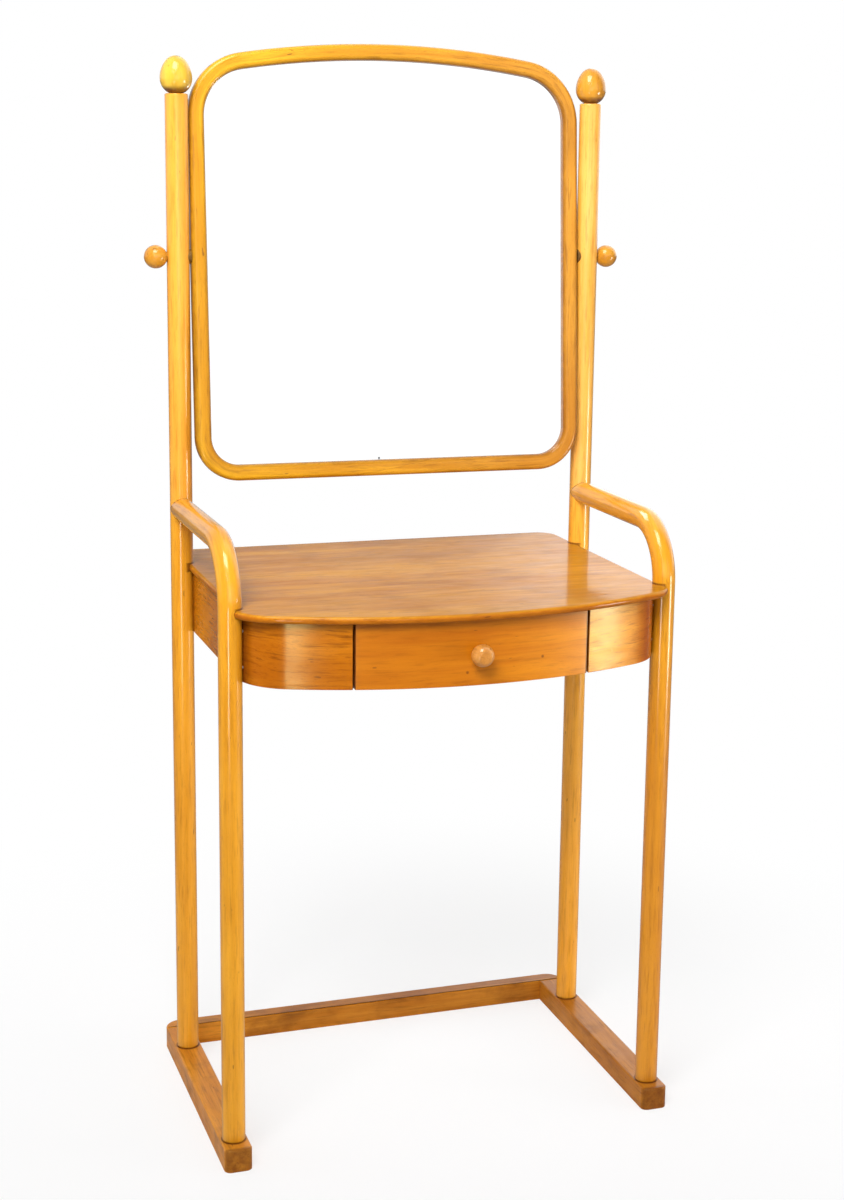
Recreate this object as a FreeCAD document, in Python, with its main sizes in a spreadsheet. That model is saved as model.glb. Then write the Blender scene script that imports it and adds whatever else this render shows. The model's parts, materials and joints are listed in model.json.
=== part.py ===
import FreeCAD, Part
import math
import operator
import os

import Sketcher
from FreeCAD import Placement, Rotation, Vector

# A bentwood dressing table: two tall posts carry a swing mirror, two front legs bend back into arms,
# and a bowed top with one drawer sits between them on a U-shaped base.
# Millimetres. +X right, -Y to the front, +Z up. The origin is on the floor, under the middle of the object.
# Places along Y are measured from the axis of the rear posts; every sub-part is then moved back by post_y.

doc = FreeCAD.newDocument("DressingTable")

SIZES = {
    # Round rods: posts, and legs with their arms
    "rod_diameter": 31.5,
    "post_span": 608,
    "post_rise": 219,
    "leg_depth": 306,
    "arm_bend": 78,
    "bend_clear": 1,
    "tenon_diameter": 20,
    "tenon_length": 24,
    # Base: runners and rear rail
    "runner_width": 38,
    "runner_height": 32,
    "runner_reach": 34,
    "runner_nose": 9,
    "rail_back": 92,
    "rail_thickness": 26,
    "rail_corner_flat": 1,
    "base_round": 2.5,
    "dowel_diameter": 8,
    "dowel_spread": 16,
    "dowel_in_rail": 18,
    "dowel_in_runner": 30,
    # Finials
    "finial_diameter": 44,
    "finial_height": 50,
    "finial_neck_diameter": 18,
    "finial_tip_radius": 17.5,
    "finial_tenon_diameter": 12,
    "finial_tenon_length": 25,
    # Table top
    "top_height": 765,
    "top_thickness": 10,
    "top_inset": 7,
    "top_flare": 7,
    "front_reach": 112,
    "top_back": 99,
    "bow_radius": 660,
    "front_corner": 60,
    "rear_corner": 30,
    "nose_flat": 1,
    # Aprons
    "apron_height": 88,
    "apron_thickness": 12,
    "apron_let_in": 3,
    "apron_corner": 80,
    "front_overhang": 14,
    "back_overhang": 16,
    "apron_dowel_diameter": 6,
    "apron_dowel_depth": 8,
    "apron_dowel_length": 28,
    "apron_dowel_inset": 22,
    # Screws from the aprons into the rods
    "apron_screw_diameter": 4.5,
    "apron_screw_length": 30,
    "apron_screw_inset": 20,
    "screw_head_diameter": 8.5,
    "screw_head_height": 3,
    # Screws from the posts into the arms
    "arm_screw_diameter": 5,
    "arm_screw_length": 50,
    "plug_diameter": 10,
    "plug_hole_depth": 8,
    "plug_sink": 0.5,
    # Glue blocks under the top
    "block_width": 24,
    "block_length": 40,
    "block_near": 60,
    "block_far": 215,
    "block_screw_diameter": 4,
    "block_screw_bite": 6,
    # Drawer and what it runs on
    "drawer_opening": 324,
    "drawer_gap": 2.5,
    "drawer_top_gap": 2,
    "drawer_front_thickness": 14,
    "drawer_side_thickness": 10,
    "drawer_side_drop": 12,
    "drawer_side_lift": 14,
    "drawer_rear_gap": 31,
    "drawer_bottom_thickness": 4,
    "drawer_groove_depth": 5,
    "drawer_groove_lift": 8,
    "bottom_screw_diameter": 3,
    "bottom_screw_length": 18,
    "bottom_screw_x": 110,
    "guide_thickness": 18,
    "guide_lift": 2,
    "slide_width": 14,
    "slide_gap": 0.3,
    "kicker_gap": 2,
    "stop_length": 20,
    "stop_height": 30,
    # Drawer knob
    "knob_diameter": 30,
    "knob_neck_diameter": 14,
    "knob_flat_diameter": 16,
    "knob_neck_length": 2.045,
    "knob_screw_diameter": 4,
    "knob_screw_bite": 15,
    # Mirror, measured from its pivot
    "pivot_height": 1195,
    "mirror_lean_angle": 4,
    "frame_gap": 1.5,
    "frame_face": 22.5,
    "frame_depth": 22,
    "frame_round": 7,
    "mirror_top": 294,
    "mirror_bottom": 312,
    "arch_radius": 1325,
    "top_corner": 88,
    "bottom_corner": 62,
    "rebate_width": 6,
    "rebate_lip": 10,
    "glass_thickness": 4,
    "glass_gap": 0.5,
    "board_thickness": 4,
    "brad_diameter": 1.4,
    "brad_length": 14,
    "brad_bite": 9,
    "brad_offset": 130,
    # Mirror pivots
    "pivot_diameter": 6,
    "insert_diameter": 10,
    "insert_length": 12,
    "pivot_bite": 10,
    "ball_diameter": 32,
    "ball_neck_diameter": 14,
    "ball_neck_length": 0.8,
    "ball_socket": 18,
    "washer_diameter": 20,
    # Clearances, and how far cutters pass a face
    "fit_gap": 0.1,
    "running_gap": 0.05,
    "rub_gap": 0.3,
    "cutter_past": 2,
}

sheet = doc.addObject("Spreadsheet::Sheet", "Sizes")
for row, (alias, number) in enumerate(SIZES.items(), start=1):
    sheet.set(f"A{row}", alias)
    sheet.set(f"B{row}", str(number))
    sheet.setAlias(f"B{row}", alias)
doc.recompute()


# Sizes as numbers that remember their formula

TOLERANCE = 1e-4
OPERATORS = {"+": operator.add, "-": operator.sub, "*": operator.mul, "/": operator.truediv}


class Size:
    """A number and the sheet formula that gives it, so that sums of sizes stay tied to the sheet."""

    def __init__(self, value, text):
        self.value = value
        self.text = text

    def __add__(self, other):
        return joined(self, "+", other)

    def __radd__(self, other):
        return joined(other, "+", self)

    def __sub__(self, other):
        return joined(self, "-", other)

    def __rsub__(self, other):
        return joined(other, "-", self)

    def __mul__(self, other):
        return joined(self, "*", other)

    def __rmul__(self, other):
        return joined(other, "*", self)

    def __truediv__(self, other):
        return joined(self, "/", other)

    def __neg__(self):
        return joined(-1, "*", self)


def as_size(number):
    """A plain number as a Size."""
    if isinstance(number, Size):
        return number
    return Size(float(number), str(float(number)))


def joined(left, sign, right):
    """Two numbers under an arithmetic sign."""
    left = as_size(left)
    right = as_size(right)
    return Size(OPERATORS[sign](left.value, right.value), f"({left.text} {sign} {right.text})")


def root(number):
    """Square root of a Size."""
    return Size(math.sqrt(number.value), f"sqrt({number.text})")


def leg_of(hypotenuse, other):
    """The second short side of a right triangle."""
    return root(hypotenuse * hypotenuse - other * other)


def size(alias):
    """A cell of the sheet."""
    return Size(float(sheet.get(alias)), f"Sizes.{alias}")


# Places that several sub-parts share

LEFT = -1
RIGHT = 1
HANDS = {LEFT: "left", RIGHT: "right"}

past = size("cutter_past")
fit_gap = size("fit_gap")
rod_radius = size("rod_diameter") / 2
post_x = size("post_span") / 2
leg_rel = -size("leg_depth")
runner_height = size("runner_height")
rail_front = size("rail_back") - size("rail_thickness")
arm_height = size("top_height") + size("bend_clear") + size("arm_bend")
post_top = size("pivot_height") + size("post_rise")
top_front = size("leg_depth") + size("front_reach")

top_under = size("top_height") - size("top_thickness")
apron_bottom = top_under - size("apron_height")
apron_x = post_x - rod_radius + size("apron_let_in")
apron_inner_x = apron_x - size("apron_thickness")
apron_back = size("top_back") - size("back_overhang")
apron_inside = apron_back - size("apron_thickness")
bow_centre = size("bow_radius") - top_front
apron_bow = size("bow_radius") - size("front_overhang")
apron_front = top_front - size("front_overhang")

# The drawer knob is a ball between a neck and a flat tip.
knob_radius = size("knob_diameter") / 2
knob_neck = size("knob_neck_diameter") / 2
knob_flat = size("knob_flat_diameter") / 2
knob_reach = size("knob_neck_length") + leg_of(knob_radius, knob_neck) + leg_of(knob_radius, knob_flat)

# The foremost point is the drawer knob, the rearmost is the top's back edge.
post_y = (apron_front + knob_reach - size("top_back")) / 2

opening_half = size("drawer_opening") / 2
drawer_half = opening_half - size("drawer_gap")
drawer_inner_bow = apron_bow - size("drawer_front_thickness")
drawer_side_bottom = apron_bottom + size("drawer_side_lift")
drawer_side_top = top_under - size("drawer_side_drop")
drawer_back = apron_inside - size("drawer_rear_gap")
drawer_bottom_z = drawer_side_bottom + size("drawer_groove_lift")
drawer_front_top = top_under - size("drawer_top_gap")
slide_front = bow_centre - leg_of(drawer_inner_bow, drawer_half) + size("drawer_gap")

frame_half = post_x - rod_radius - size("frame_gap")
frame_front = size("frame_depth") / 2
rebate_inset = size("frame_face") - size("rebate_width")
pivot_radius = size("pivot_diameter") / 2
pivot_bore = pivot_radius + size("running_gap")
ball_start = post_x + rod_radius + size("rub_gap")


# Building blocks

nodes = []


def node(shape_object, label):
    """Name a finished sub-part."""
    shape_object.Label = label
    nodes.append(shape_object)
    return shape_object


def bind(target, prop, number):
    """Tie a property to the sheet."""
    target.setExpression(prop, as_size(number).text)


def stand(target, x, y, z, rotation=None):
    """Tie an object's place to the sheet."""
    target.Placement = Placement(Vector(0, 0, 0), rotation or Rotation())
    bind(target, "Placement.Base.x", x)
    bind(target, "Placement.Base.y", y)
    bind(target, "Placement.Base.z", z)


def box(name, x, y, z, shift=post_y):
    """A block between two limits along each axis."""
    block = doc.addObject("Part::Box", name)
    bind(block, "Length", x[1] - x[0])
    bind(block, "Width", y[1] - y[0])
    bind(block, "Height", z[1] - z[0])
    stand(block, x[0], y[0] + shift, z[0])
    return block


TURNS = {
    "X": Rotation(Vector(0, 1, 0), 90),
    "Y": Rotation(Vector(1, 0, 0), -90),
    "Z": Rotation(),
}


def rod(name, radius, axis, start, length, shift=post_y):
    """A round bar that runs from start along an axis."""
    bar = doc.addObject("Part::Cylinder", name)
    bind(bar, "Radius", radius)
    bind(bar, "Height", length)
    stand(bar, start[0], start[1] + shift, start[2], TURNS[axis])
    return bar


def outward(side, near, far):
    """Limits along X of something that reaches from near to far of the middle, on one side."""
    if side == RIGHT:
        return (near, far)
    return (-far, -near)


def joined_solid(name, shapes):
    """One solid from several that meet."""
    union = doc.addObject("Part::MultiFuse", name)
    union.Shapes = shapes
    return union


def cut(name, base, tools):
    """A solid less one or more cutters."""
    result = base
    for number, tool in enumerate(tools, start=1):
        step = doc.addObject("Part::Cut", f"{name}{number}")
        step.Base = result
        step.Tool = tool
        result = step
    return result


def common(name, first, second):
    """What two solids share."""
    shared = doc.addObject("Part::Common", name)
    shared.Base = first
    shared.Tool = second
    return shared


def collect(name, shapes):
    """Separate solids of one kind, kept together."""
    group = doc.addObject("Part::Compound", name)
    group.Links = shapes
    return group


def new_body(name, x, y, z, rotation=None):
    """An empty body at a place of its own."""
    body = doc.addObject("PartDesign::Body", name)
    stand(body, x, y, z, rotation)
    return body


def new_sketch(body, name, role, lift=0):
    """A sketch on one of the body's own planes, lifted along the plane's normal."""
    sketch = body.newObject("Sketcher::SketchObject", name)
    plane = [feature for feature in body.Origin.OriginFeatures if feature.Role == role][0]
    sketch.AttachmentSupport = [(plane, "")]
    sketch.MapMode = "FlatFace"
    bind(sketch, "AttachmentOffset.Base.z", lift)
    return sketch


def pin_point(sketch, line, end, point):
    """Hold one end of a line or arc at a point, or a circle by its centre."""
    for kind, number in (("DistanceX", point[0]), ("DistanceY", point[1])):
        number = as_size(number)
        index = sketch.addConstraint(Sketcher.Constraint(kind, line, end, number.value))
        sketch.setExpression(f"Constraints[{index}]", number.text)


def pin_radius(sketch, line, radius):
    """Hold the radius of an arc or circle."""
    index = sketch.addConstraint(Sketcher.Constraint("Radius", line, radius.value))
    sketch.setExpression(f"Constraints[{index}]", radius.text)


def arc_between(start, end, radius, turn):
    """An arc of less than half a circle. turn is 1 when it runs anticlockwise, -1 when clockwise."""
    first = Vector(as_size(start[0]).value, as_size(start[1]).value, 0)
    last = Vector(as_size(end[0]).value, as_size(end[1]).value, 0)
    chord = last - first
    height = math.sqrt(max(radius.value ** 2 - (chord.Length / 2) ** 2, 0))
    across = Vector(-chord.y, chord.x, 0).normalize()
    centre = (first + last) / 2 + across * (height * turn)
    angles = [math.atan2(point.y - centre.y, point.x - centre.x) for point in (first, last)]
    if turn < 0:
        angles.reverse()
    return Part.ArcOfCircle(Part.Circle(centre, Vector(0, 0, 1), radius.value), *angles)


def draw(sketch, corners, arcs, closed=True):
    """An outline through corners. arcs gives (radius, turn) for the sides that are round."""
    count = len(corners) if closed else len(corners) - 1
    ends = []
    for side in range(count):
        start = corners[side]
        end = corners[(side + 1) % len(corners)]
        if side in arcs:
            radius, turn = arcs[side]
            line = sketch.addGeometry(arc_between(start, end, radius, turn), False)
            pin_radius(sketch, line, radius)
            ends.append((line, 1, 2) if turn > 0 else (line, 2, 1))
        else:
            points = [Vector(as_size(p[0]).value, as_size(p[1]).value, 0) for p in (start, end)]
            line = sketch.addGeometry(Part.LineSegment(*points), False)
            ends.append((line, 1, 2))
    for side in range(count):
        line, start_end, far_end = ends[side]
        pin_point(sketch, line, start_end, corners[side])
        if side + 1 < count or closed:
            following = ends[(side + 1) % count]
            sketch.addConstraint(Sketcher.Constraint("Coincident", line, far_end, following[0], following[1]))
        else:
            pin_point(sketch, line, far_end, corners[side + 1])


def draw_circle(sketch, centre, radius):
    """A circle, held by its centre and radius."""
    middle = Vector(as_size(centre[0]).value, as_size(centre[1]).value, 0)
    line = sketch.addGeometry(Part.Circle(middle, Vector(0, 0, 1), radius.value), False)
    pin_point(sketch, line, 3, centre)
    pin_radius(sketch, line, radius)


def pad(body, sketch, length, backwards=False):
    """Raise a sketch into a solid."""
    feature = body.newObject("PartDesign::Pad", f"{body.Name}Pad")
    feature.Profile = sketch
    feature.Reversed = backwards
    bind(feature, "Length", length)
    return feature


def turn_solid(body, sketch, axis):
    """Turn a sketch about one of its own axes."""
    feature = body.newObject("PartDesign::Revolution", f"{body.Name}Turned")
    feature.Profile = sketch
    feature.ReferenceAxis = (sketch, [axis])
    feature.Angle = 360
    return feature


def round_edges(body, feature, radius, wanted):
    """Round the edges of a feature that pass a test."""
    doc.recompute()
    names = [f"Edge{i}" for i, edge in enumerate(feature.Shape.Edges, start=1) if wanted(edge)]
    fillet = body.newObject("PartDesign::Fillet", f"{body.Name}Round")
    fillet.Base = (feature, names)
    bind(fillet, "Radius", radius)
    return fillet


def level_at(height):
    """A test for edges that lie at one height."""

    def is_level(edge):
        """True where the whole edge is at that height."""
        low = edge.BoundBox.ZMin - height
        high = edge.BoundBox.ZMax - height
        return max(abs(low), abs(high)) < TOLERANCE

    return is_level


# Aprons: bent bands from the back of each side, round the front corner, to the drawer

def apron_blank(side):
    """The band before its screw and dowel holes are bored."""
    corner = size("apron_corner")
    thickness = size("apron_thickness")
    corner_x = apron_x - corner
    corner_y = bow_centre - leg_of(apron_bow - corner, corner_x)

    def on_ray(radius):
        """Where the corner and the bow meet, at a radius from the middle of the bow."""
        reach = radius / (apron_bow - corner)
        return (side * corner_x * reach, bow_centre + (corner_y - bow_centre) * reach)

    inner_bow = apron_bow - thickness
    corners = [
        (side * apron_x, apron_back),
        (side * apron_x, corner_y),
        on_ray(apron_bow),
        (side * opening_half, bow_centre - leg_of(apron_bow, opening_half)),
        (side * opening_half, bow_centre - leg_of(inner_bow, opening_half)),
        on_ray(inner_bow),
        (side * apron_inner_x, corner_y),
        (side * apron_inner_x, apron_back),
    ]
    arcs = {
        1: (corner, -side),
        2: (apron_bow, -side),
        4: (inner_bow, side),
        5: (corner - thickness, side),
    }
    body = new_body(f"ApronBand{HANDS[side].title()}", 0, post_y, apron_bottom)
    sketch = new_sketch(body, "ApronOutline", "XY_Plane")
    draw(sketch, corners, arcs)
    pad(body, sketch, size("apron_height"))
    return body


apron_bands = {side: apron_blank(side) for side in HANDS}
apron_screw_heights = [apron_bottom + size("apron_screw_inset"), top_under - size("apron_screw_inset")]


def apron_screws():
    """Two screws through the apron into each post and leg. Returns the holes they need, by side."""
    shank = size("apron_screw_diameter") / 2
    head = size("screw_head_diameter") / 2
    seat = apron_inner_x + size("screw_head_height")
    tip = apron_inner_x + size("apron_screw_length")
    screws = []
    holes = {side: [] for side in HANDS}
    for side in HANDS:
        for y in (0, leg_rel):
            for z in apron_screw_heights:
                shaft_x = outward(side, seat, tip)
                head_x = outward(side, apron_inner_x, seat)
                shaft = rod("ApronScrewShank", shank, "X", (shaft_x[0], y, z), tip - seat)
                cap = rod("ApronScrewHead", head, "X", (head_x[0], y, z), seat - apron_inner_x)
                screws.append(joined_solid("ApronScrew", [shaft, cap]))
                deep_x = outward(side, seat - past, tip + fit_gap)
                wide_x = outward(side, apron_inner_x - size("apron_thickness"), seat)
                bore = rod("ApronScrewBore", shank + fit_gap, "X", (deep_x[0], y, z), deep_x[1] - deep_x[0])
                sink = rod("ApronScrewSink", head + fit_gap, "X", (wide_x[0], y, z), wide_x[1] - wide_x[0])
                holes[side].append(joined_solid("ApronScrewHole", [bore, sink]))
    node(collect("ApronScrews", screws), "apron_screws")
    return holes


def rear_apron(side_holes):
    """The board across the back, doweled into the ends of the side aprons."""
    middle = apron_inside + size("apron_thickness") / 2
    radius = size("apron_dowel_diameter") / 2
    width = (-apron_inner_x, apron_inner_x)
    board = box("RearApronBoard", width, (apron_inside, apron_back), (apron_bottom, top_under))
    start = apron_inner_x + size("apron_dowel_depth") - size("apron_dowel_length")
    dowels = []
    holes = []
    for side in HANDS:
        for z in (apron_bottom + size("apron_dowel_inset"), top_under - size("apron_dowel_inset")):
            x = outward(side, start, start + size("apron_dowel_length"))
            dowels.append(rod("ApronDowel", radius, "X", (x[0], middle, z), size("apron_dowel_length")))
            hole_length = size("apron_dowel_length") + 2 * fit_gap
            hole = rod("ApronDowelHole", radius + fit_gap, "X", (x[0] - fit_gap, middle, z), hole_length)
            holes.append(hole)
            side_holes[side].append(hole)
    node(cut("RearApron", board, holes), "rear_apron")
    node(collect("RearApronDowels", dowels), "rear_apron_dowels")


def aprons():
    """Both bent bands with their holes."""
    screw_holes = apron_screws()
    band_holes = {side: list(screw_holes[side]) for side in HANDS}
    rear_apron(band_holes)
    for side, hand in HANDS.items():
        node(cut(f"Apron{hand.title()}", apron_bands[side], band_holes[side]), f"{hand}_apron")
    return screw_holes


screw_holes = aprons()


# Posts, legs and finials

def arm_screw(side):
    """The screw from the back of a post into the arm, its plug, and the hole for both."""
    x = side * post_x
    z = arm_height
    shank = size("arm_screw_diameter") / 2
    head = size("screw_head_diameter") / 2
    plug = size("plug_diameter") / 2
    seat = rod_radius - size("plug_hole_depth")
    head_end = seat + size("screw_head_height")
    length = size("arm_screw_length")
    shaft = rod("ArmScrewShank", shank, "Y", (x, seat - length, z), length)
    cap = rod("ArmScrewHead", head, "Y", (x, seat, z), head_end - seat)
    plug_length = rod_radius - size("plug_sink") - head_end
    stopper = rod("ArmPlug", plug, "Y", (x, head_end, z), plug_length)
    bore = rod("ArmScrewBore", shank + fit_gap, "Y", (x, seat - length - fit_gap, z), length + fit_gap + past)
    sink = rod("ArmPlugHole", plug + fit_gap, "Y", (x, seat, z), rod_radius - seat + past)
    hole = joined_solid("ArmScrewHole", [bore, sink])
    return joined_solid("ArmScrew", [shaft, cap]), stopper, hole


def rear_post(side, arm_hole):
    """A straight rod, tenoned into its runner, with the sockets for what it carries."""
    x = side * post_x
    shaft = rod("PostShaft", rod_radius, "Z", (x, 0, runner_height), post_top - runner_height)
    foot = size("tenon_length")
    tenon = rod("PostTenon", size("tenon_diameter") / 2, "Z", (x, 0, runner_height - foot), foot)
    socket_depth = size("finial_tenon_length") + fit_gap
    socket_radius = size("finial_tenon_diameter") / 2 + fit_gap
    socket_floor = post_top - socket_depth
    socket = rod("FinialSocket", socket_radius, "Z", (x, 0, socket_floor), socket_depth + past)
    bore_x = outward(side, post_x - rod_radius - past, post_x + rod_radius + past)
    bore = rod("PivotBore", pivot_bore, "X", (bore_x[0], 0, size("pivot_height")), bore_x[1] - bore_x[0])
    blank = joined_solid("PostBlank", [shaft, tenon])
    tools = [apron_bands[side], socket, bore, arm_hole] + screw_holes[side][:len(apron_screw_heights)]
    return cut("Post", blank, tools)


def front_leg(side, arm_hole):
    """A rod that rises from its runner and bends back into an arm, coped to fit round the post."""
    x = side * post_x
    depth = size("leg_depth")
    bend = size("arm_bend")
    body = new_body(f"LegRod{HANDS[side].title()}", x, post_y + leg_rel, 0)
    path = new_sketch(body, "LegPath", "YZ_Plane")
    corners = [(0, runner_height), (0, arm_height - bend), (bend, arm_height), (depth, arm_height)]
    draw(path, corners, {1: (bend, -1)}, closed=False)
    profile = new_sketch(body, "LegProfile", "XY_Plane", runner_height)
    draw_circle(profile, (0, 0), rod_radius)
    doc.recompute()
    pipe = body.newObject("PartDesign::AdditivePipe", "LegPipe")
    pipe.Profile = profile
    pipe.Spine = (path, ["Edge1", "Edge2", "Edge3"])
    foot = size("tenon_length")
    tenon = rod("LegTenon", size("tenon_diameter") / 2, "Z", (x, leg_rel, runner_height - foot), foot)
    cope_start = (x, 0, arm_height - size("rod_diameter"))
    cope = rod("ArmCope", rod_radius + fit_gap, "Z", cope_start, 2 * size("rod_diameter"))
    blank = joined_solid("LegBlank", [body, tenon])
    tools = [cope, apron_bands[side], arm_hole] + screw_holes[side][len(apron_screw_heights):]
    return cut("Leg", blank, tools)


def finial(side):
    """An egg on a short neck, with a tenon that goes down into the post."""
    widest = size("finial_diameter") / 2
    height = size("finial_height")
    neck = size("finial_neck_diameter") / 2
    belly = leg_of(widest, neck)
    tip = size("finial_tip_radius")
    rise = height - belly
    flank = (widest * widest + (rise - tip) * (rise - tip) - tip * tip) / (2 * (widest - tip))
    lean = tip / (flank - tip)
    meet = ((flank - widest) * lean, height - tip + (rise - tip) * lean)
    corners = [(0, 0), (neck, 0), (widest, belly), meet, (0, height)]
    arcs = {1: (widest, 1), 2: (flank, 1), 3: (tip, 1)}
    body = new_body(f"FinialEgg{HANDS[side].title()}", side * post_x, post_y, post_top)
    sketch = new_sketch(body, "FinialProfile", "XZ_Plane")
    draw(sketch, corners, arcs)
    turn_solid(body, sketch, "V_Axis")
    radius = size("finial_tenon_diameter") / 2
    length = size("finial_tenon_length")
    tenon = rod("FinialTenon", radius, "Z", (side * post_x, 0, post_top - length), length)
    return joined_solid("Finial", [body, tenon])


def uprights():
    """Both posts and legs, with the arm screws and their plugs."""
    screws = []
    plugs = []
    for side, hand in HANDS.items():
        screw, plug, hole = arm_screw(side)
        screws.append(screw)
        plugs.append(plug)
        node(rear_post(side, hole), f"{hand}_rear_post")
        node(front_leg(side, hole), f"{hand}_front_leg")
        node(finial(side), f"{hand}_finial")
    node(collect("ArmScrews", screws), "arm_screws")
    node(collect("ArmPlugs", plugs), "arm_screw_plugs")


uprights()


# Base: two runners and a rear rail that stand on the floor

def runner(side, dowel_holes):
    """A runner with rounded front corners and bores for the rods' tenons."""
    half = size("runner_width") / 2
    nose = size("runner_nose")
    front = leg_rel - size("runner_reach")
    corners = [
        (half, rail_front),
        (-half, rail_front),
        (-half, front + nose),
        (-half + nose, front),
        (half - nose, front),
        (half, front + nose),
    ]
    body = new_body(f"RunnerBar{HANDS[side].title()}", side * post_x, post_y, 0)
    sketch = new_sketch(body, "RunnerOutline", "XY_Plane")
    draw(sketch, corners, {2: (nose, 1), 4: (nose, 1)})
    bar = pad(body, sketch, runner_height)
    level = level_at(runner_height.value)

    def rounded(edge):
        """Every upper edge but the one that butts against the rail."""
        return level(edge) and edge.BoundBox.YMin < rail_front.value - TOLERANCE

    round_edges(body, bar, size("base_round"), rounded)
    radius = size("tenon_diameter") / 2 + fit_gap
    depth = size("tenon_length") + fit_gap
    bores = []
    for y in (0, leg_rel):
        bores.append(rod("TenonBore", radius, "Z", (side * post_x, y, runner_height - depth), depth + past))
    return cut("Runner", body, bores + dowel_holes)


def rear_rail(dowel_holes):
    """The cross rail behind the runners, rounded at its two rear corners."""
    half = post_x + size("runner_width") / 2
    back = size("rail_back")
    radius = size("rail_thickness") - size("rail_corner_flat")
    corners = [
        (half, rail_front),
        (half, back - radius),
        (half - radius, back),
        (-half + radius, back),
        (-half, back - radius),
        (-half, rail_front),
    ]
    body = new_body("RailBar", 0, post_y, 0)
    sketch = new_sketch(body, "RailOutline", "XY_Plane")
    draw(sketch, corners, {1: (radius, 1), 3: (radius, 1)})
    bar = pad(body, sketch, runner_height)
    level = level_at(runner_height.value)

    def rounded(edge):
        """The upper edges along the back and the rear corners."""
        return level(edge) and edge.BoundBox.YMax > rail_front.value + TOLERANCE

    round_edges(body, bar, size("base_round"), rounded)
    return cut("RearRail", body, dowel_holes)


def base():
    """Runners and rail, doweled together."""
    radius = size("dowel_diameter") / 2
    start = rail_front - size("dowel_in_runner")
    length = size("dowel_in_runner") + size("dowel_in_rail")
    dowels = []
    holes = {side: [] for side in HANDS}
    for side in HANDS:
        for across in (-1, 1):
            x = side * post_x + across * size("dowel_spread") / 2
            z = runner_height / 2
            dowels.append(rod("BaseDowel", radius, "Y", (x, start, z), length))
            hole = rod("BaseDowelHole", radius + fit_gap, "Y", (x, start - fit_gap, z), length + 2 * fit_gap)
            holes[side].append(hole)
    for side, hand in HANDS.items():
        node(runner(side, holes[side]), f"{hand}_runner")
    node(rear_rail(holes[LEFT] + holes[RIGHT]), "rear_rail")
    node(collect("BaseDowels", dowels), "base_dowels")


base()


# Table top and the blocks that hold it down

def table_top(screw_bores):
    """A thin bowed panel with a rounded nose, notched round the four rods and wider in front of the legs."""
    half = post_x - size("top_inset")
    front_half = half + size("top_flare")
    back = size("top_back")
    rear = size("rear_corner")
    bow = size("bow_radius")
    corner = size("front_corner")
    corner_x = front_half - corner
    corner_y = bow_centre - leg_of(bow - corner, corner_x)
    shoulder = corner_y + rod_radius / 2
    reach = bow / (bow - corner)
    meet_x = corner_x * reach
    meet_y = bow_centre + (corner_y - bow_centre) * reach
    corners = [
        (half - rear, back),
        (-half + rear, back),
        (-half, back - rear),
        (-half, shoulder),
        (-front_half, corner_y),
        (-meet_x, meet_y),
        (meet_x, meet_y),
        (front_half, corner_y),
        (half, shoulder),
        (half, back - rear),
    ]
    arcs = {1: (rear, 1), 4: (corner, 1), 5: (bow, 1), 6: (corner, 1), 9: (rear, 1)}
    body = new_body("TopPanel", 0, post_y, top_under)
    sketch = new_sketch(body, "TopOutline", "XY_Plane")
    draw(sketch, corners, arcs)
    panel = pad(body, sketch, size("top_thickness"))
    upper = level_at(size("top_thickness").value)
    lower = level_at(0)
    nose = (size("top_thickness") - size("nose_flat")) / 2
    round_edges(body, panel, nose, lambda edge: upper(edge) or lower(edge))
    notches = []
    notch_height = size("top_thickness") + 2 * past
    for side in HANDS:
        for y in (0, leg_rel):
            start = (side * post_x, y, top_under - past)
            notches.append(rod("RodNotch", rod_radius + fit_gap, "Z", start, notch_height))
    return cut("TableTop", body, notches + screw_bores)


def top_and_blocks():
    """The top, the blocks glued inside the aprons and the screws that pull the top down."""
    width = size("block_width")
    half = size("block_length") / 2
    rear_x = (opening_half + size("guide_thickness") + apron_inner_x) / 2
    layout = []
    for side in HANDS:
        for y in (-size("block_near"), -size("block_far")):
            layout.append((outward(side, apron_inner_x - width, apron_inner_x), (y - half, y + half)))
    for x in (-rear_x, as_size(0), rear_x):
        layout.append(((x - half, x + half), (apron_inside - width, apron_inside)))
    shank = size("block_screw_diameter") / 2
    head = size("screw_head_diameter") / 2
    low = top_under - width
    seat = low + size("screw_head_height")
    tip = top_under + size("block_screw_bite")
    blocks = []
    screws = []
    bores = []
    for x, y in layout:
        across = (x[0] + x[1]) / 2
        along = (y[0] + y[1]) / 2
        block = box("TopBlock", x, y, (low, top_under))
        shaft = rod("BlockScrewShank", shank, "Z", (across, along, seat), tip - seat)
        cap = rod("BlockScrewHead", head, "Z", (across, along, low), seat - low)
        bore_length = tip - seat + past + fit_gap
        bore = rod("BlockScrewBore", shank + fit_gap, "Z", (across, along, seat - past), bore_length)
        sink = rod("BlockScrewSink", head + fit_gap, "Z", (across, along, low - past), seat - low + past)
        screws.append(joined_solid("BlockScrew", [shaft, cap]))
        blocks.append(cut("Block", block, [bore, sink]))
        bores.append(bore)
    node(table_top(bores), "table_top")
    node(collect("TopBlocks", blocks), "top_blocks")
    node(collect("TopBlockScrews", screws), "top_block_screws")


top_and_blocks()


# What the drawer runs on

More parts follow.
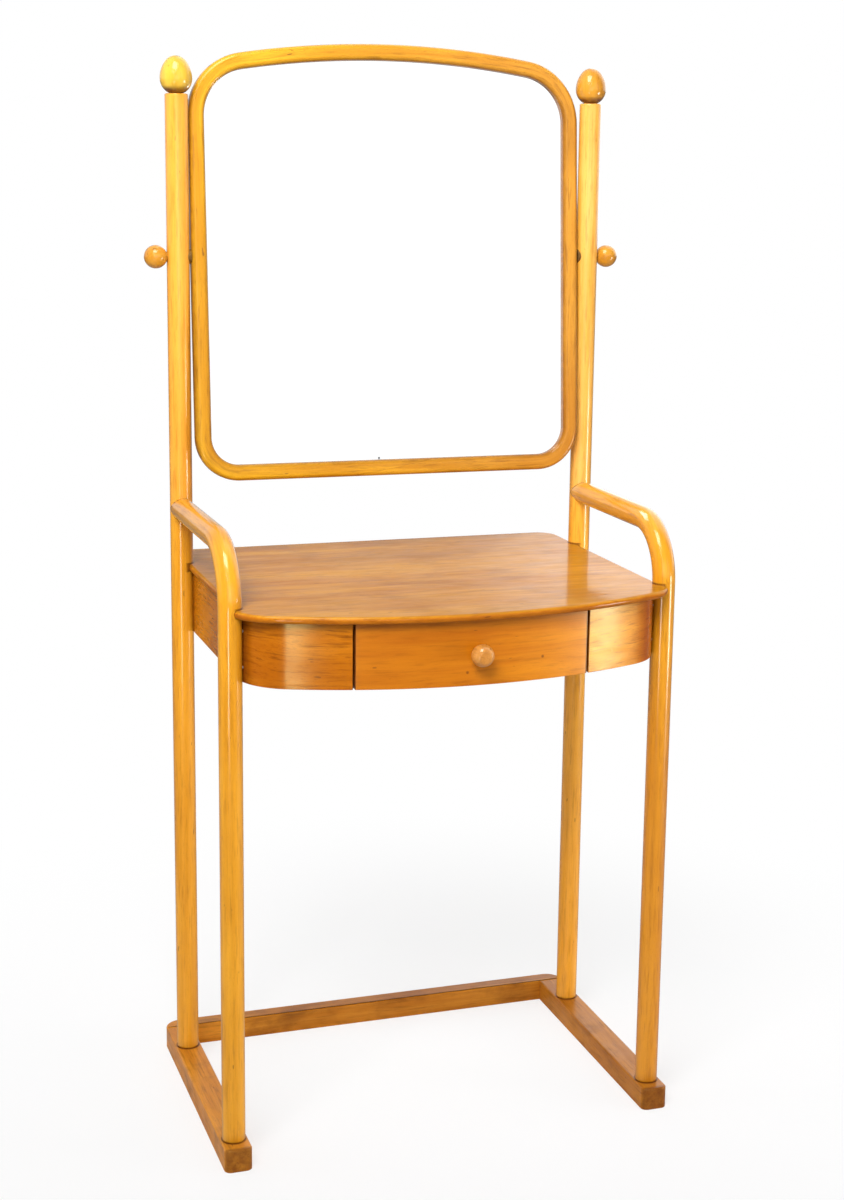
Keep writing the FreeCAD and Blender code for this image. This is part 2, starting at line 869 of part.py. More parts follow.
def drawer_slides(side):
    """The guide beside the drawer, the runner under its side, the kicker over it and the stop behind it."""
    hand = HANDS[side]
    guide_x = outward(side, opening_half, opening_half + size("guide_thickness"))
    slide_x = outward(side, opening_half - size("slide_width"), opening_half)
    low = apron_bottom + size("guide_lift")
    inner_bow = apron_bow - size("apron_thickness")
    blank = box("GuideBlank", guide_x, (-apron_front, apron_inside), (low, top_under))
    curve = rod("GuideCurve", inner_bow, "Z", (0, bow_centre, low - past), top_under - low + 2 * past)
    node(common("Guide", blank, curve), f"{hand}_drawer_guide")
    runner_top = drawer_side_bottom - size("slide_gap")
    strip = box("SlideStrip", slide_x, (slide_front, apron_inside), (low, runner_top))
    node(strip, f"{hand}_drawer_runner")
    kicker_bottom = drawer_side_top + size("kicker_gap")
    kicker = box("KickerStrip", slide_x, (slide_front, apron_inside), (kicker_bottom, top_under))
    node(kicker, f"{hand}_drawer_kicker")
    stop_front = drawer_back + size("slide_gap")
    stop_y = (stop_front, stop_front + size("stop_length"))
    return box("DrawerStop", slide_x, stop_y, (runner_top, runner_top + size("stop_height")))


node(collect("DrawerStops", [drawer_slides(side) for side in HANDS]), "drawer_stops")


# Drawer

def drawer_disc(name, radius, low, high):
    """A round plate about the middle of the bow, for parts that follow the bowed front."""
    return rod(name, radius, "Z", (0, bow_centre, low), high - low)


def drawer():
    """A bowed front, two sides, a back and a bottom let into grooves."""
    side_thickness = size("drawer_side_thickness")
    inner = drawer_half - side_thickness
    back = drawer_back
    groove = size("drawer_groove_depth")
    groove_top = drawer_bottom_z + size("drawer_bottom_thickness")

    knob_z = (apron_bottom + drawer_front_top) / 2
    inner_face = bow_centre - drawer_inner_bow
    screw_radius = size("knob_screw_diameter") / 2
    screw_length = size("drawer_front_thickness") + size("knob_screw_bite")
    screw_tip = inner_face - screw_length
    bore_start = (0, screw_tip - fit_gap, knob_z)
    screw_bore = rod("KnobScrewBore", screw_radius + fit_gap, "Y", bore_start, screw_length + fit_gap + past)

    front_y = (-apron_front - past, slide_front)
    blank = box("FrontBlank", (-drawer_half, drawer_half), front_y, (apron_bottom, drawer_front_top))
    outer = drawer_disc("FrontOuter", apron_bow, apron_bottom - past, drawer_front_top + past)
    hollow = drawer_disc("FrontInner", drawer_inner_bow, apron_bottom - past, drawer_front_top + past)
    slot_z = (drawer_bottom_z - fit_gap, groove_top + fit_gap)
    slot = drawer_disc("FrontGroove", drawer_inner_bow + groove, *slot_z)
    front = cut("DrawerFront", common("FrontBow", blank, outer), [hollow, slot, screw_bore])
    node(front, "drawer_front")

    side_curve = drawer_disc("SideCurve", drawer_inner_bow, drawer_side_bottom - past, drawer_side_top + past)
    for side, hand in HANDS.items():
        x = outward(side, inner, drawer_half)
        board = box("SideBlank", x, (-apron_front, back), (drawer_side_bottom, drawer_side_top))
        groove_x = outward(side, inner - past, inner + groove)
        slot = box("SideGroove", groove_x, (-apron_front, back + past), slot_z)
        node(cut("DrawerSide", common("SideBoard", board, side_curve), [slot]), f"drawer_{hand}_side")

    panel_half = inner + groove - fit_gap
    panel = box("BottomBlank", (-panel_half, panel_half), (-apron_front, back), (drawer_bottom_z, groove_top))
    panel_bow = drawer_inner_bow + groove - fit_gap
    panel_curve = drawer_disc("BottomCurve", panel_bow, drawer_bottom_z - past, groove_top + past)
    back_y = (back - side_thickness, back)
    back_board = box("BackBlank", (-inner, inner), back_y, (groove_top, drawer_side_top))
    screws = []
    bores = []
    radius = size("bottom_screw_diameter") / 2
    head = radius + size("bottom_screw_diameter") / 2
    for x in (-size("bottom_screw_x"), as_size(0), size("bottom_screw_x")):
        place = (x, back - side_thickness / 2, drawer_bottom_z)
        shaft = rod("BottomScrewShank", radius, "Z", place, size("bottom_screw_length"))
        cap = rod("BottomScrewHead", head, "Z", (x, place[1], drawer_bottom_z - radius), radius)
        screws.append(joined_solid("BottomScrew", [shaft, cap]))
        low = (x, place[1], drawer_bottom_z - past)
        bore_length = size("bottom_screw_length") + past + fit_gap
        bores.append(rod("BottomScrewBore", radius + fit_gap, "Z", low, bore_length))
    node(cut("DrawerBottom", common("BottomPanel", panel, panel_curve), bores), "drawer_bottom")
    node(cut("DrawerBack", back_board, bores), "drawer_back")
    node(collect("BottomScrews", screws), "drawer_bottom_screws")

    shaft = rod("KnobScrewShank", screw_radius, "Y", (0, screw_tip, knob_z), screw_length + fit_gap)
    head_radius = size("screw_head_diameter") / 2
    head_place = (0, inner_face + fit_gap, knob_z)
    cap = rod("KnobScrewHead", head_radius, "Y", head_place, size("screw_head_height"))
    node(joined_solid("KnobScrew", [shaft, cap]), "drawer_knob_screw")
    node(cut("DrawerKnob", drawer_knob_turning(knob_z), [screw_bore]), "drawer_knob")


def drawer_knob_turning(knob_z):
    """A turned ball on a short neck, flattened at its tip."""
    neck_end = size("knob_neck_length")
    neck_side = [(knob_neck, 0), (knob_neck, -neck_end)]
    corners = [(0, 0), *neck_side, (knob_flat, -knob_reach), (0, -knob_reach)]
    body = new_body("KnobBall", 0, post_y - apron_front, knob_z)
    sketch = new_sketch(body, "KnobProfile", "XY_Plane")
    draw(sketch, corners, {2: (knob_radius, -1)})
    turn_solid(body, sketch, "V_Axis")
    return body


drawer()


# Mirror: every piece is built about the pivot, then leaned back together

def frame_outline(sketch, inset):
    """The mirror's outline, drawn in by an inset: straight sides and foot, arched head, round corners."""
    half = frame_half - inset
    top_corner = size("top_corner") - inset
    foot_corner = size("bottom_corner") - inset
    arch = size("arch_radius") - inset
    foot = inset - size("mirror_bottom")
    arch_centre = size("mirror_top") - size("arch_radius")
    corner_x = half - top_corner
    corner_z = arch_centre + leg_of(arch - top_corner, corner_x)
    reach = arch / (arch - top_corner)
    meet_x = corner_x * reach
    meet_z = arch_centre + (corner_z - arch_centre) * reach
    corners = [
        (half - foot_corner, foot),
        (half, foot + foot_corner),
        (half, corner_z),
        (meet_x, meet_z),
        (-meet_x, meet_z),
        (-half, corner_z),
        (-half, foot + foot_corner),
        (-half + foot_corner, foot),
    ]
    arcs = {0: (foot_corner, 1), 2: (top_corner, 1), 3: (arch, 1), 4: (top_corner, 1), 6: (foot_corner, 1)}
    draw(sketch, corners, arcs)


def lean(piece):
    """Put a mirror piece at the pivot and lean it back."""
    piece.Placement = Placement(Vector(0, 0, 0), Rotation(Vector(1, 0, 0), -size("mirror_lean_angle").value))
    bind(piece, "Placement.Base.y", post_y)
    bind(piece, "Placement.Base.z", size("pivot_height"))
    bind(piece, "Placement.Rotation.Angle", -size("mirror_lean_angle"))
    return piece


def plate(name, inset, front, thickness):
    """A flat panel with the mirror's outline. front is how far its face lies behind the frame's face."""
    body = doc.addObject("PartDesign::Body", name)
    sketch = new_sketch(body, f"{name}Outline", "XZ_Plane", frame_front - front)
    frame_outline(sketch, inset)
    pad(body, sketch, thickness, backwards=True)
    return body


def frame_ring():
    """The bent frame: a ring with rounded edges and a rebate at the back for the glass."""
    body = doc.addObject("PartDesign::Body", "FrameRing")
    sketch = new_sketch(body, "FrameOutline", "XZ_Plane", frame_front)
    frame_outline(sketch, as_size(0))
    frame_outline(sketch, size("frame_face"))
    ring = pad(body, sketch, size("frame_depth"), backwards=True)
    inner_half = (frame_half - size("frame_face")).value
    front = -frame_front.value

    def rounded(edge):
        """All edges round the front face, and the outer ones round the back."""
        limits = edge.BoundBox
        if limits.YMax - limits.YMin > TOLERANCE:
            return False
        outer = max(abs(limits.XMin), abs(limits.XMax)) > inner_half + TOLERANCE
        outer = outer or limits.ZMin < (size("frame_face") - size("mirror_bottom")).value - TOLERANCE
        outer = outer or limits.ZMax > (size("mirror_top") - size("frame_face")).value + TOLERANCE
        return abs(limits.YMin - front) < TOLERANCE or outer

    round_edges(body, ring, size("frame_round"), rounded)
    rebate = new_sketch(body, "RebateOutline", "XZ_Plane", frame_front - size("rebate_lip"))
    frame_outline(rebate, rebate_inset)
    pocket = body.newObject("PartDesign::Pocket", "FrameRebate")
    pocket.Profile = rebate
    bind(pocket, "Length", size("frame_depth") - size("rebate_lip") + past)
    return body


def brads(board_back):
    """Small nails behind the board, driven into the rebate's wall, with their holes."""
    radius = size("brad_diameter") / 2
    length = size("brad_length")
    bite = size("brad_bite")
    offset = size("brad_offset")
    y = board_back + radius
    wall_x = frame_half - rebate_inset
    foot = rebate_inset - size("mirror_bottom")
    arch = size("arch_radius") - rebate_inset
    head = size("mirror_top") - size("arch_radius") + leg_of(arch, offset)
    places = []
    for side in HANDS:
        x = outward(side, wall_x + bite - length, wall_x + bite)[0]
        places += [("X", (x, y, -offset)), ("X", (x, y, offset))]
        places += [("Z", (side * offset, y, foot - bite)), ("Z", (side * offset, y, head + bite - length))]
    nails = [rod("Brad", radius, axis, place, length, 0) for axis, place in places]
    holes = [rod("BradHole", radius + fit_gap, axis, place, length, 0) for axis, place in places]
    return nails, holes


def mirror():
    """Frame, glass, back board, brads and the threaded inserts at the pivots."""
    seat = size("rebate_lip")
    board_front = seat + size("glass_thickness")
    board_back = board_front + size("board_thickness") - frame_front
    nails, holes = brads(board_back)
    insert_radius = size("insert_diameter") / 2
    length = size("insert_length")
    for side, hand in HANDS.items():
        x = outward(side, frame_half - length, frame_half)
        hole_x = outward(side, frame_half - length - fit_gap, frame_half + past)
        hole_length = hole_x[1] - hole_x[0]
        holes.append(rod("InsertHole", insert_radius + fit_gap, "X", (hole_x[0], 0, 0), hole_length, 0))
        sleeve = rod("InsertSleeve", insert_radius, "X", (x[0], 0, 0), length, 0)
        thread = rod("InsertThread", pivot_bore, "X", (x[0] - past, 0, 0), length + 2 * past, 0)
        node(lean(cut(f"Insert{hand.title()}", sleeve, [thread])), f"{hand}_pivot_insert")
    node(lean(cut("MirrorFrame", frame_ring(), holes)), "mirror_frame")
    panel_inset = rebate_inset + size("glass_gap")
    node(lean(plate("Glass", panel_inset, seat, size("glass_thickness"))), "mirror_glass")
    node(lean(plate("BackBoard", panel_inset, board_front, size("board_thickness"))), "mirror_back_board")
    node(lean(collect("BackBrads", nails)), "mirror_back_brads")


mirror()


# Mirror pivots: ball knobs whose screws clamp the frame between the posts

def ball_turning(side):
    """A ball on a short neck, turned about the pivot axis."""
    radius = size("ball_diameter") / 2
    neck = size("ball_neck_diameter") / 2
    neck_end = size("ball_neck_length")
    tip = neck_end + leg_of(radius, neck) + radius
    corners = [(0, 0), (0, neck), (side * neck_end, neck), (side * tip, 0)]
    body = new_body(f"Ball{HANDS[side].title()}", side * ball_start, post_y, size("pivot_height"))
    sketch = new_sketch(body, "BallProfile", "XY_Plane")
    draw(sketch, corners, {2: (radius, -side)})
    turn_solid(body, sketch, "H_Axis")
    return body


def pivots(side):
    """One ball knob, its screw and the cupped washer between post and frame."""
    hand = HANDS[side]
    height = size("pivot_height")
    inner = frame_half - size("pivot_bite")
    outer = ball_start + size("ball_socket")
    screw_x = outward(side, inner, outer)
    node(rod("PivotScrew", pivot_radius, "X", (screw_x[0], 0, height), outer - inner), f"{hand}_pivot_screw")
    socket_x = outward(side, ball_start - past, outer + fit_gap)
    socket_length = socket_x[1] - socket_x[0]
    socket = rod("BallSocket", pivot_radius + fit_gap, "X", (socket_x[0], 0, height), socket_length)
    node(cut("PivotBall", ball_turning(side), [socket]), f"{hand}_pivot_ball")
    washer_x = outward(side, frame_half + size("rub_gap"), post_x)
    washer_length = post_x - frame_half - size("rub_gap")
    disc = rod("WasherDisc", size("washer_diameter") / 2, "X", (washer_x[0], 0, height), washer_length)
    cup_start = (side * post_x, 0, height - size("rod_diameter"))
    cup = rod("WasherCup", rod_radius, "Z", cup_start, 2 * size("rod_diameter"))
    hole_x = outward(side, frame_half - past, post_x + past)
    hole = rod("WasherHole", pivot_bore, "X", (hole_x[0], 0, height), hole_x[1] - hole_x[0])
    node(cut("Washer", disc, [cup, hole]), f"{hand}_pivot_washer")


for side in HANDS:
    pivots(side)


# Check every object, then write each sub-part

doc.recompute()
failed = [item.Name for item in doc.Objects if "Invalid" in item.State or "Error" in item.State]
if failed:
    raise RuntimeError(f"objects that failed: {failed}")
for piece in nodes:
    if piece.Shape.isNull() or not piece.Shape.isValid() or not piece.Shape.Solids:
        raise RuntimeError(f"{piece.Label} has no sound solid")

os.makedirs("parts", exist_ok=True)
for piece in nodes:
    piece.Shape.exportStep(f"parts/{piece.Label}.step")
    print(f"{piece.Label}: {len(piece.Shape.Solids)} solid(s), {piece.Shape.Volume / 1000:.2f} cm3")
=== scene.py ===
import json
from collections import namedtuple
from math import acos, asin, atan2, cos, hypot, pi, radians, sin, sqrt

import bmesh
import bpy
from mathutils import Matrix, Vector

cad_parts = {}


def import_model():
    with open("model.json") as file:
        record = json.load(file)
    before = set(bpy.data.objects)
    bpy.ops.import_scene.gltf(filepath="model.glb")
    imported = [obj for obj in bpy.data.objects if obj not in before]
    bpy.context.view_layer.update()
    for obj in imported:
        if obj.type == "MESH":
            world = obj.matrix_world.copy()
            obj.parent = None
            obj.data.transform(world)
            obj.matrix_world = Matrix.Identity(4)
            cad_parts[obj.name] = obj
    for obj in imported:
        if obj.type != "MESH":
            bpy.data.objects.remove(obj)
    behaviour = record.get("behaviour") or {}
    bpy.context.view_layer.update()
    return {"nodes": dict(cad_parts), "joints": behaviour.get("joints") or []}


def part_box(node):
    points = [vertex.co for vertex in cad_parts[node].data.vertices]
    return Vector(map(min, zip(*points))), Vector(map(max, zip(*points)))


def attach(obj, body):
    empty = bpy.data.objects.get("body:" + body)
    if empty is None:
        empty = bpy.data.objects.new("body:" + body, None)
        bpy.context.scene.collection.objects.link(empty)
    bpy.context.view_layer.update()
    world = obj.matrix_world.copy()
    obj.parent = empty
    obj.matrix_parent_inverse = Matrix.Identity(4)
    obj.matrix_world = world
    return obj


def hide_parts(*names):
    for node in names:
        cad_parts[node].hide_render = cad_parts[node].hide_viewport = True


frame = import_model()

# A bentwood dressing table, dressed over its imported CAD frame. Metres, +X right, -Y to the front, +Z up.
# What shows is modelled again with finer edges. The hidden CAD nodes only get a material.

LEFT = -1
RIGHT = 1
HANDS = {LEFT: "left", RIGHT: "right"}
X_AXIS = Vector((1, 0, 0))
Y_AXIS = Vector((0, 1, 0))
Z_AXIS = Vector((0, 0, 1))
QUARTER_TURN = pi / 2


# Sizes and places: from the frame's boxes where they show them, or else as in the part's source

def box_of(node):
    """Lowest corner, highest corner and size of a CAD node."""
    low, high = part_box(node)
    return low, high, high - low


# Rods
post_low, post_high, post_size = box_of("right_rear_post")
leg_low, leg_high, _ = box_of("right_front_leg")
ROD_RADIUS = post_size.x / 2
ROD_SIDES = 48
POST_X = (post_low.x + post_high.x) / 2
POST_Y = (post_low.y + post_high.y) / 2
POST_TOP = post_high.z
POST_RIM = 0.0022
LEG_Y = leg_low.y + ROD_RADIUS
ARM_Z = leg_high.z - ROD_RADIUS
ARM_BEND = 0.078

# Base
rail_low, rail_high, rail_size = box_of("rear_rail")
runner_low, _, runner_size = box_of("right_runner")
BASE_TOP = rail_high.z
BASE_ROUND = 0.0025
BASE_FOOT_ROUND = 0.0008
RUNNER_NOSE = 0.009
RAIL_CORNER_FLAT = 0.001

# Table top
top_low, top_high, top_size = box_of("table_top")
BOW_RADIUS = 0.660
BOW_Y = top_low.y + BOW_RADIUS
TOP_INSET = 0.007
TOP_FLARE = 0.007
TOP_FRONT_CORNER = 0.060
TOP_REAR_CORNER = 0.030
TOP_FLAT_EDGE = 0.001
NOTCH_GAP = 0.0003
CUTTER_PAST = 0.01

# Aprons and drawer front
apron_low, apron_high, _ = box_of("right_apron")
front_low, front_high, front_size = box_of("drawer_front")
APRON_THICKNESS = 0.012
APRON_CORNER = 0.080
FRONT_OVERHANG = 0.014
APRON_BOW = BOW_RADIUS - FRONT_OVERHANG
OPENING_HALF = apron_low.x
DRAWER_HALF = front_size.x / 2
DRAWER_THICKNESS = 0.014
ARRIS = 0.0007
BAND_EDGE_ROUND = 1.2 * ARRIS

# Mirror
PIVOT = Vector([joint["pos_m"] for joint in frame["joints"] if joint["name"] == "mirror_tilt"][0])
MIRROR_LEAN = radians(-4)
MIRROR_HALF = box_of("mirror_frame")[2].x / 2
MIRROR_TOP = 0.294
MIRROR_BOTTOM = 0.312
MIRROR_ARCH = 1.325
MIRROR_TOP_CORNER = 0.088
MIRROR_BOTTOM_CORNER = 0.062
FRAME_FACE = 0.0225
FRAME_DEPTH = 0.022
FRAME_ROUND = 0.007
REBATE_WIDTH = 0.006
REBATE_LIP = 0.010
SCARF_FOOT = -0.060
SCARF_HEAD = 0.066
GLUE_LINE = 0.0008

# Turned pieces; a round tip ends just short of its axis, where a small cap closes it
KNOB_RADIUS = 0.015
KNOB_NECK = 0.007
KNOB_FLAT = 0.008
BALL_RADIUS = 0.016
BALL_NECK = 0.007
BALL_NECK_LENGTH = 0.0008
FINIAL_RADIUS = 0.022
FINIAL_NECK = 0.009
FINIAL_TIP = 0.0175
FINIAL_SINK = 0.001
TIP_END = QUARTER_TURN - 0.03

# Dirt at the foot of a rod: height above the base, how far the rod's edge is eased, grime
FOOT_RINGS = ((0.0, 0.0008, 0.9), (0.0012, 0.0, 0.7), (0.003, 0.0, 0.18), (0.014, 0.0, 0.0))

# Dirt where an arm is coped to its post: gap to the post, grime
COPE_RINGS = ((0.0030, 0.05), (0.0018, 0.85), (0.0, 1.0))
CLEAN_ARM_GAP = 0.008

# Other dirt, painted shade and marks; the spots are given by X and Z
RIM_GRIME = 0.05
FINIAL_SHADE_HEIGHT = 0.010
FINIAL_SHADE = 1.8
SCARF_GRIME = 0.7
GLASS_EDGE_GRIME = 0.6
FRAME_INNER_SHADE = 0.5
FRAME_POST_SHADOW = 0.68
BLEMISH = (-0.0195, 0.9085)
BLEMISH_RADIUS = 0.0024
KNOTS = ((-0.015, 0.685), (0.091, 0.698))
KNOT_RADIUS = 0.0028


# Materials

class Shader:
    """The node tree of a material or a world, built one node at a time."""

    def __init__(self, owner, surface="Principled BSDF"):
        owner.use_nodes = True
        self.owner = owner
        self.tree = owner.node_tree
        self.surface = self.tree.nodes[surface]

    def feed(self, socket, value):
        """Link an output to a socket, or set the socket's own value."""
        if isinstance(value, bpy.types.NodeSocket):
            self.tree.links.new(value, socket)
        else:
            socket.default_value = value

    def add(self, kind, inputs, **settings):
        """A node with its inputs, by name or number, and its settings."""
        made = self.tree.nodes.new(kind)
        for key, value in settings.items():
            setattr(made, key, value)
        for key, value in inputs.items():
            self.feed(made.inputs[key], value)
        return made

    def place(self):
        """Each point's place in the frame."""
        return self.add("ShaderNodeTexCoord", {}).outputs["Object"]

    def parts(self, vector):
        """X, Y and Z of a vector."""
        return self.add("ShaderNodeSeparateXYZ", {"Vector": vector}).outputs

    def xyz(self):
        """X, Y and Z of each point's place."""
        return self.parts(self.place())

    def attribute(self, name):
        """What a piece's vertices hold under a name."""
        return self.add("ShaderNodeAttribute", {}, attribute_name=name).outputs

    def math(self, operation, first, second=0.0, clamp=False):
        """One sum."""
        inputs = {0: first, 1: second}
        return self.add("ShaderNodeMath", inputs, operation=operation, use_clamp=clamp).outputs[0]

    def largest(self, first, *others):
        """The largest of several values."""
        for other in others:
            first = self.math("MAXIMUM", first, other)
        return first

    def distance(self, first, second):
        """The length of a slanted line, from its two straight parts."""
        squares = [self.math("MULTIPLY", part, part) for part in (first, second)]
        return self.math("SQRT", self.math("ADD", *squares))

    def noise(self, vector, scale, detail=2.0, rough=0.5, warp=0.0):
        """Soft noise from 0 to 1."""
        inputs = {"Vector": vector, "Scale": scale, "Detail": detail, "Roughness": rough, "Distortion": warp}
        return self.add("ShaderNodeTexNoise", inputs).outputs["Fac"]

    def stretched(self, vector, scales, detail=2.0, rough=0.5, warp=0.0, shift=(0, 0, 0)):
        """Soft noise from 0 to 1 with a scale of its own along each axis, then moved."""
        mapping = self.add("ShaderNodeMapping", {"Vector": vector, "Scale": scales, "Location": shift})
        return self.noise(mapping.outputs[0], 1.0, detail, rough, warp)

    def step(self, value, low, high, first=0.0, last=1.0):
        """A smooth change from first to last as value goes from low to high."""
        inputs = {"Value": value, "From Min": low, "From Max": high, "To Min": first, "To Max": last}
        return self.add("ShaderNodeMapRange", inputs, interpolation_type="SMOOTHSTEP").outputs[0]

    def mix(self, share, first, second, kind="MIX"):
        """Two colours mixed."""
        made = self.add("ShaderNodeMix", {0: share, 6: first, 7: second}, data_type="RGBA", blend_type=kind)
        return made.outputs[2]

    def bump(self, height, strength, distance, normal=None):
        """A normal from a height."""
        inputs = {"Height": height, "Strength": strength, "Distance": distance}
        if normal is not None:
            inputs["Normal"] = normal
        return self.add("ShaderNodeBump", inputs).outputs[0]

    def finish(self, **inputs):
        """Feed the surface, and give back the material or world. Underscores in names stand for spaces."""
        for key, value in inputs.items():
            self.feed(self.surface.inputs[key.replace("_", " ")], value)
        return self.owner


def new_shader(name):
    """The shader of a new material."""
    return Shader(bpy.data.materials.new(name))


def colour(red, green, blue):
    """A colour as it is seen, 0 to 255, turned into the linear values that shaders take."""
    def linear(part):
        share = part / 255
        return share / 12.92 if share <= 0.04045 else ((share + 0.055) / 1.055) ** 2.4

    return (linear(red), linear(green), linear(blue), 1.0)


PLAIN = (1, 1, 1, 1)
AMBER_SHEEN = (1.0, 0.88, 0.32, 1.0)
NICK = colour(74, 38, 16)
# One dark brown for grime and for painted shade
GRIME_AND_SHADE = colour(84, 34, 10)

# Timbers: a pale, a deep and a dark colour each
HONEY = (colour(228, 160, 38), colour(206, 136, 20), colour(140, 77, 10))
STRAW = (colour(208, 168, 58), colour(190, 146, 38), colour(140, 92, 20))
BISCUIT = (colour(198, 138, 42), colour(174, 112, 24), colour(116, 64, 12))
CARAMEL = (colour(208, 142, 34), colour(180, 112, 18), colour(108, 56, 8))
AMBER = (colour(200, 116, 16), colour(178, 94, 8), colour(110, 48, 4))
GOLD = (colour(198, 136, 32), colour(174, 108, 15), colour(114, 60, 8))
EARTH = (colour(208, 136, 46), colour(176, 104, 26), colour(102, 52, 12))
TAN = (colour(198, 134, 62), colour(174, 110, 44), colour(108, 62, 24))
RAW = (colour(222, 186, 138), colour(205, 163, 112), colour(150, 108, 66))


def frame_grain(shader, order):
    """Wood coordinates of a CAD node. In an order such as YXZ, the grain follows the first axis."""
    parts = shader.xyz()
    inputs = {slot: parts[axis] for slot, axis in zip("XYZ", order)}
    return shader.add("ShaderNodeCombineXYZ", inputs).outputs[0]


def wood_figure(shader, grain, waviness, coarse=1.0):
    """Bands, strokes, fibres and flecks of a straight-grained timber, each from 0 to 1."""
    drift = shader.stretched(grain, (5, 16, 16))
    shift = shader.math("MULTIPLY", shader.math("SUBTRACT", drift, 0.5), waviness)
    offset = shader.add("ShaderNodeCombineXYZ", {"X": 0.0, "Y": shift, "Z": shift}).outputs[0]
    bent = shader.add("ShaderNodeVectorMath", {0: grain, 1: offset}, operation="ADD").outputs[0]
    bands = shader.stretched(bent, (2.2, 70, 70), 3.0, 0.55)
    strokes = shader.stretched(bent, (20, 250 / coarse, 250 / coarse), 3.0, 0.6, shift=(4, 2, 6))
    fibres = shader.stretched(bent, (22, 900, 900), 2.0, 0.6)
    flecks = shader.stretched(bent, (170, 1500, 1500), 1.0, 0.5)
    return bands, strokes, fibres, flecks


def veined(shader, base, dark, veins, contrast=1.0):
    """Dark veins over a colour. A vein is a figure, where it starts, where it is full and its strength."""
    for figure, start, full, strength in veins:
        base = shader.mix(shader.step(figure, start, full, 0.0, strength * contrast), base, dark)
    return base


def timber(shader, grain, figure, colours, contrast, clouds):
    """The colour of old beech: soft bands, dark strokes and stains, and cloudy patches where wanted."""
    pale, deep, dark = colours
    bands, strokes, fibres, flecks = figure
    blotch = shader.stretched(grain, (6, 14, 14), 3.0, 0.55)
    stain = shader.stretched(grain, (3.1, 9, 9), 4.0, 0.6, warp=0.4, shift=(7, 3, 1))
    share = shader.math("ADD", shader.math("MULTIPLY", bands, 0.62), shader.math("MULTIPLY", blotch, 0.38))
    base = shader.mix(shader.step(share, 0.34, 0.66), pale, deep)
    veins = (
        (strokes, 0.50, 0.72, 0.50),
        (fibres, 0.48, 0.78, 0.30),
        (flecks, 0.62, 0.72, 0.25),
        (stain, 0.58, 0.80, 0.35),
    )
    base = veined(shader, base, dark, veins, contrast)
    if clouds:
        patch = shader.stretched(grain, (10, 17, 17), 3.0, 0.6, warp=0.6, shift=(5, 1, 8))
        base = veined(shader, base, dark, [(patch, 0.42, 0.70, clouds)])
    return base


def lacquered_wood(name, colours, contrast, gloss, waviness=0.006, coat=1.0, coarse=1.0, shine=0.2,
                   relief=1.0, clouds=0.0, rough=(0.30, 0.46), marks=None, tone=None):
    """Old beech under a clear lacquer, with small nicks, and with grime and painted shade where its pieces or
    marks say so.
    """
    shader = new_shader(f"lacquered_{name}")
    grain = shader.attribute("grain")["Vector"]
    figure = wood_figure(shader, grain, waviness, coarse)
    base = timber(shader, grain, figure, colours, contrast, clouds)
    # A tone may paint light and shade onto the piece
    if tone is not None:
        base = shader.mix(1.0, base, tone(shader, shader.xyz()), "MULTIPLY")
    nick = shader.stretched(grain, (55, 240, 240), 1.0, 0.4, shift=(3, 9, 4))
    base = veined(shader, base, NICK, [(nick, 0.765, 0.80, 0.55)])
    grime = shader.attribute("grime")["Fac"]
    if marks is not None:
        grime = shader.largest(grime, marks(shader, shader.xyz()))
    uneven = shader.stretched(grain, (90, 90, 90), 3.0, 0.6)
    grime = shader.math("MULTIPLY", grime, shader.step(uneven, 0.2, 0.7, 0.65, 1.0), clamp=True)
    # Grime and painted shade darken the colour towards one dark brown
    base = shader.mix(grime, base, GRIME_AND_SHADE)
    fibres = figure[2]
    swell = shader.stretched(grain, (14, 60, 60), 1.0, shift=(1, 5, 2))
    normal = shader.bump(swell, 0.10 * relief, 0.0025)
    normal = shader.bump(fibres, 0.10 * relief, 0.00025, normal)
    haze = shader.stretched(grain, (20, 40, 40), 4.0, 0.65, shift=(2, 8, 5))
    worn = shader.step(haze, 0.3, 0.75, *rough)
    return shader.finish(Base_Color=base, Roughness=worn, Normal=normal, Specular_IOR_Level=shine,
                         Specular_Tint=AMBER_SHEEN, Coat_Weight=coat, Coat_Roughness=gloss, Coat_IOR=1.5,
                         Coat_Normal=normal)


def bare_wood(name, colours, order):
    """Plain timber without lacquer, for pieces that are out of sight."""
    shader = new_shader(name)
    pale, deep, dark = colours
    bands, strokes, fibres, flecks = wood_figure(shader, frame_grain(shader, order), 0.01)
    veins = ((strokes, 0.5, 0.75, 0.3), (fibres, 0.45, 0.8, 0.4), (flecks, 0.6, 0.72, 0.3))
    base = veined(shader, shader.mix(shader.step(bands, 0.3, 0.7), pale, deep), dark, veins)
    rough = shader.step(fibres, 0.2, 0.8, 0.62, 0.78)
    normal = shader.bump(fibres, 0.25, 0.0003)
    return shader.finish(Base_Color=base, Roughness=rough, Normal=normal, Specular_IOR_Level=0.3)


def metal(name, tint, shade, rough):
    """Turned metal with fine scratches and a little tarnish."""
    shader = new_shader(name)
    place = shader.place()
    tarnish = shader.noise(place, 220.0, 4.0, 0.6)
    scratch = shader.stretched(place, (2200, 300, 300))
    base = shader.mix(shader.step(tarnish, 0.4, 0.7), tint, shade)
    worn = shader.step(tarnish, 0.3, 0.75, rough, rough + 0.2)
    normal = shader.bump(scratch, 0.2, 0.00005)
    return shader.finish(Base_Color=base, Metallic=1.0, Roughness=worn, Normal=normal)


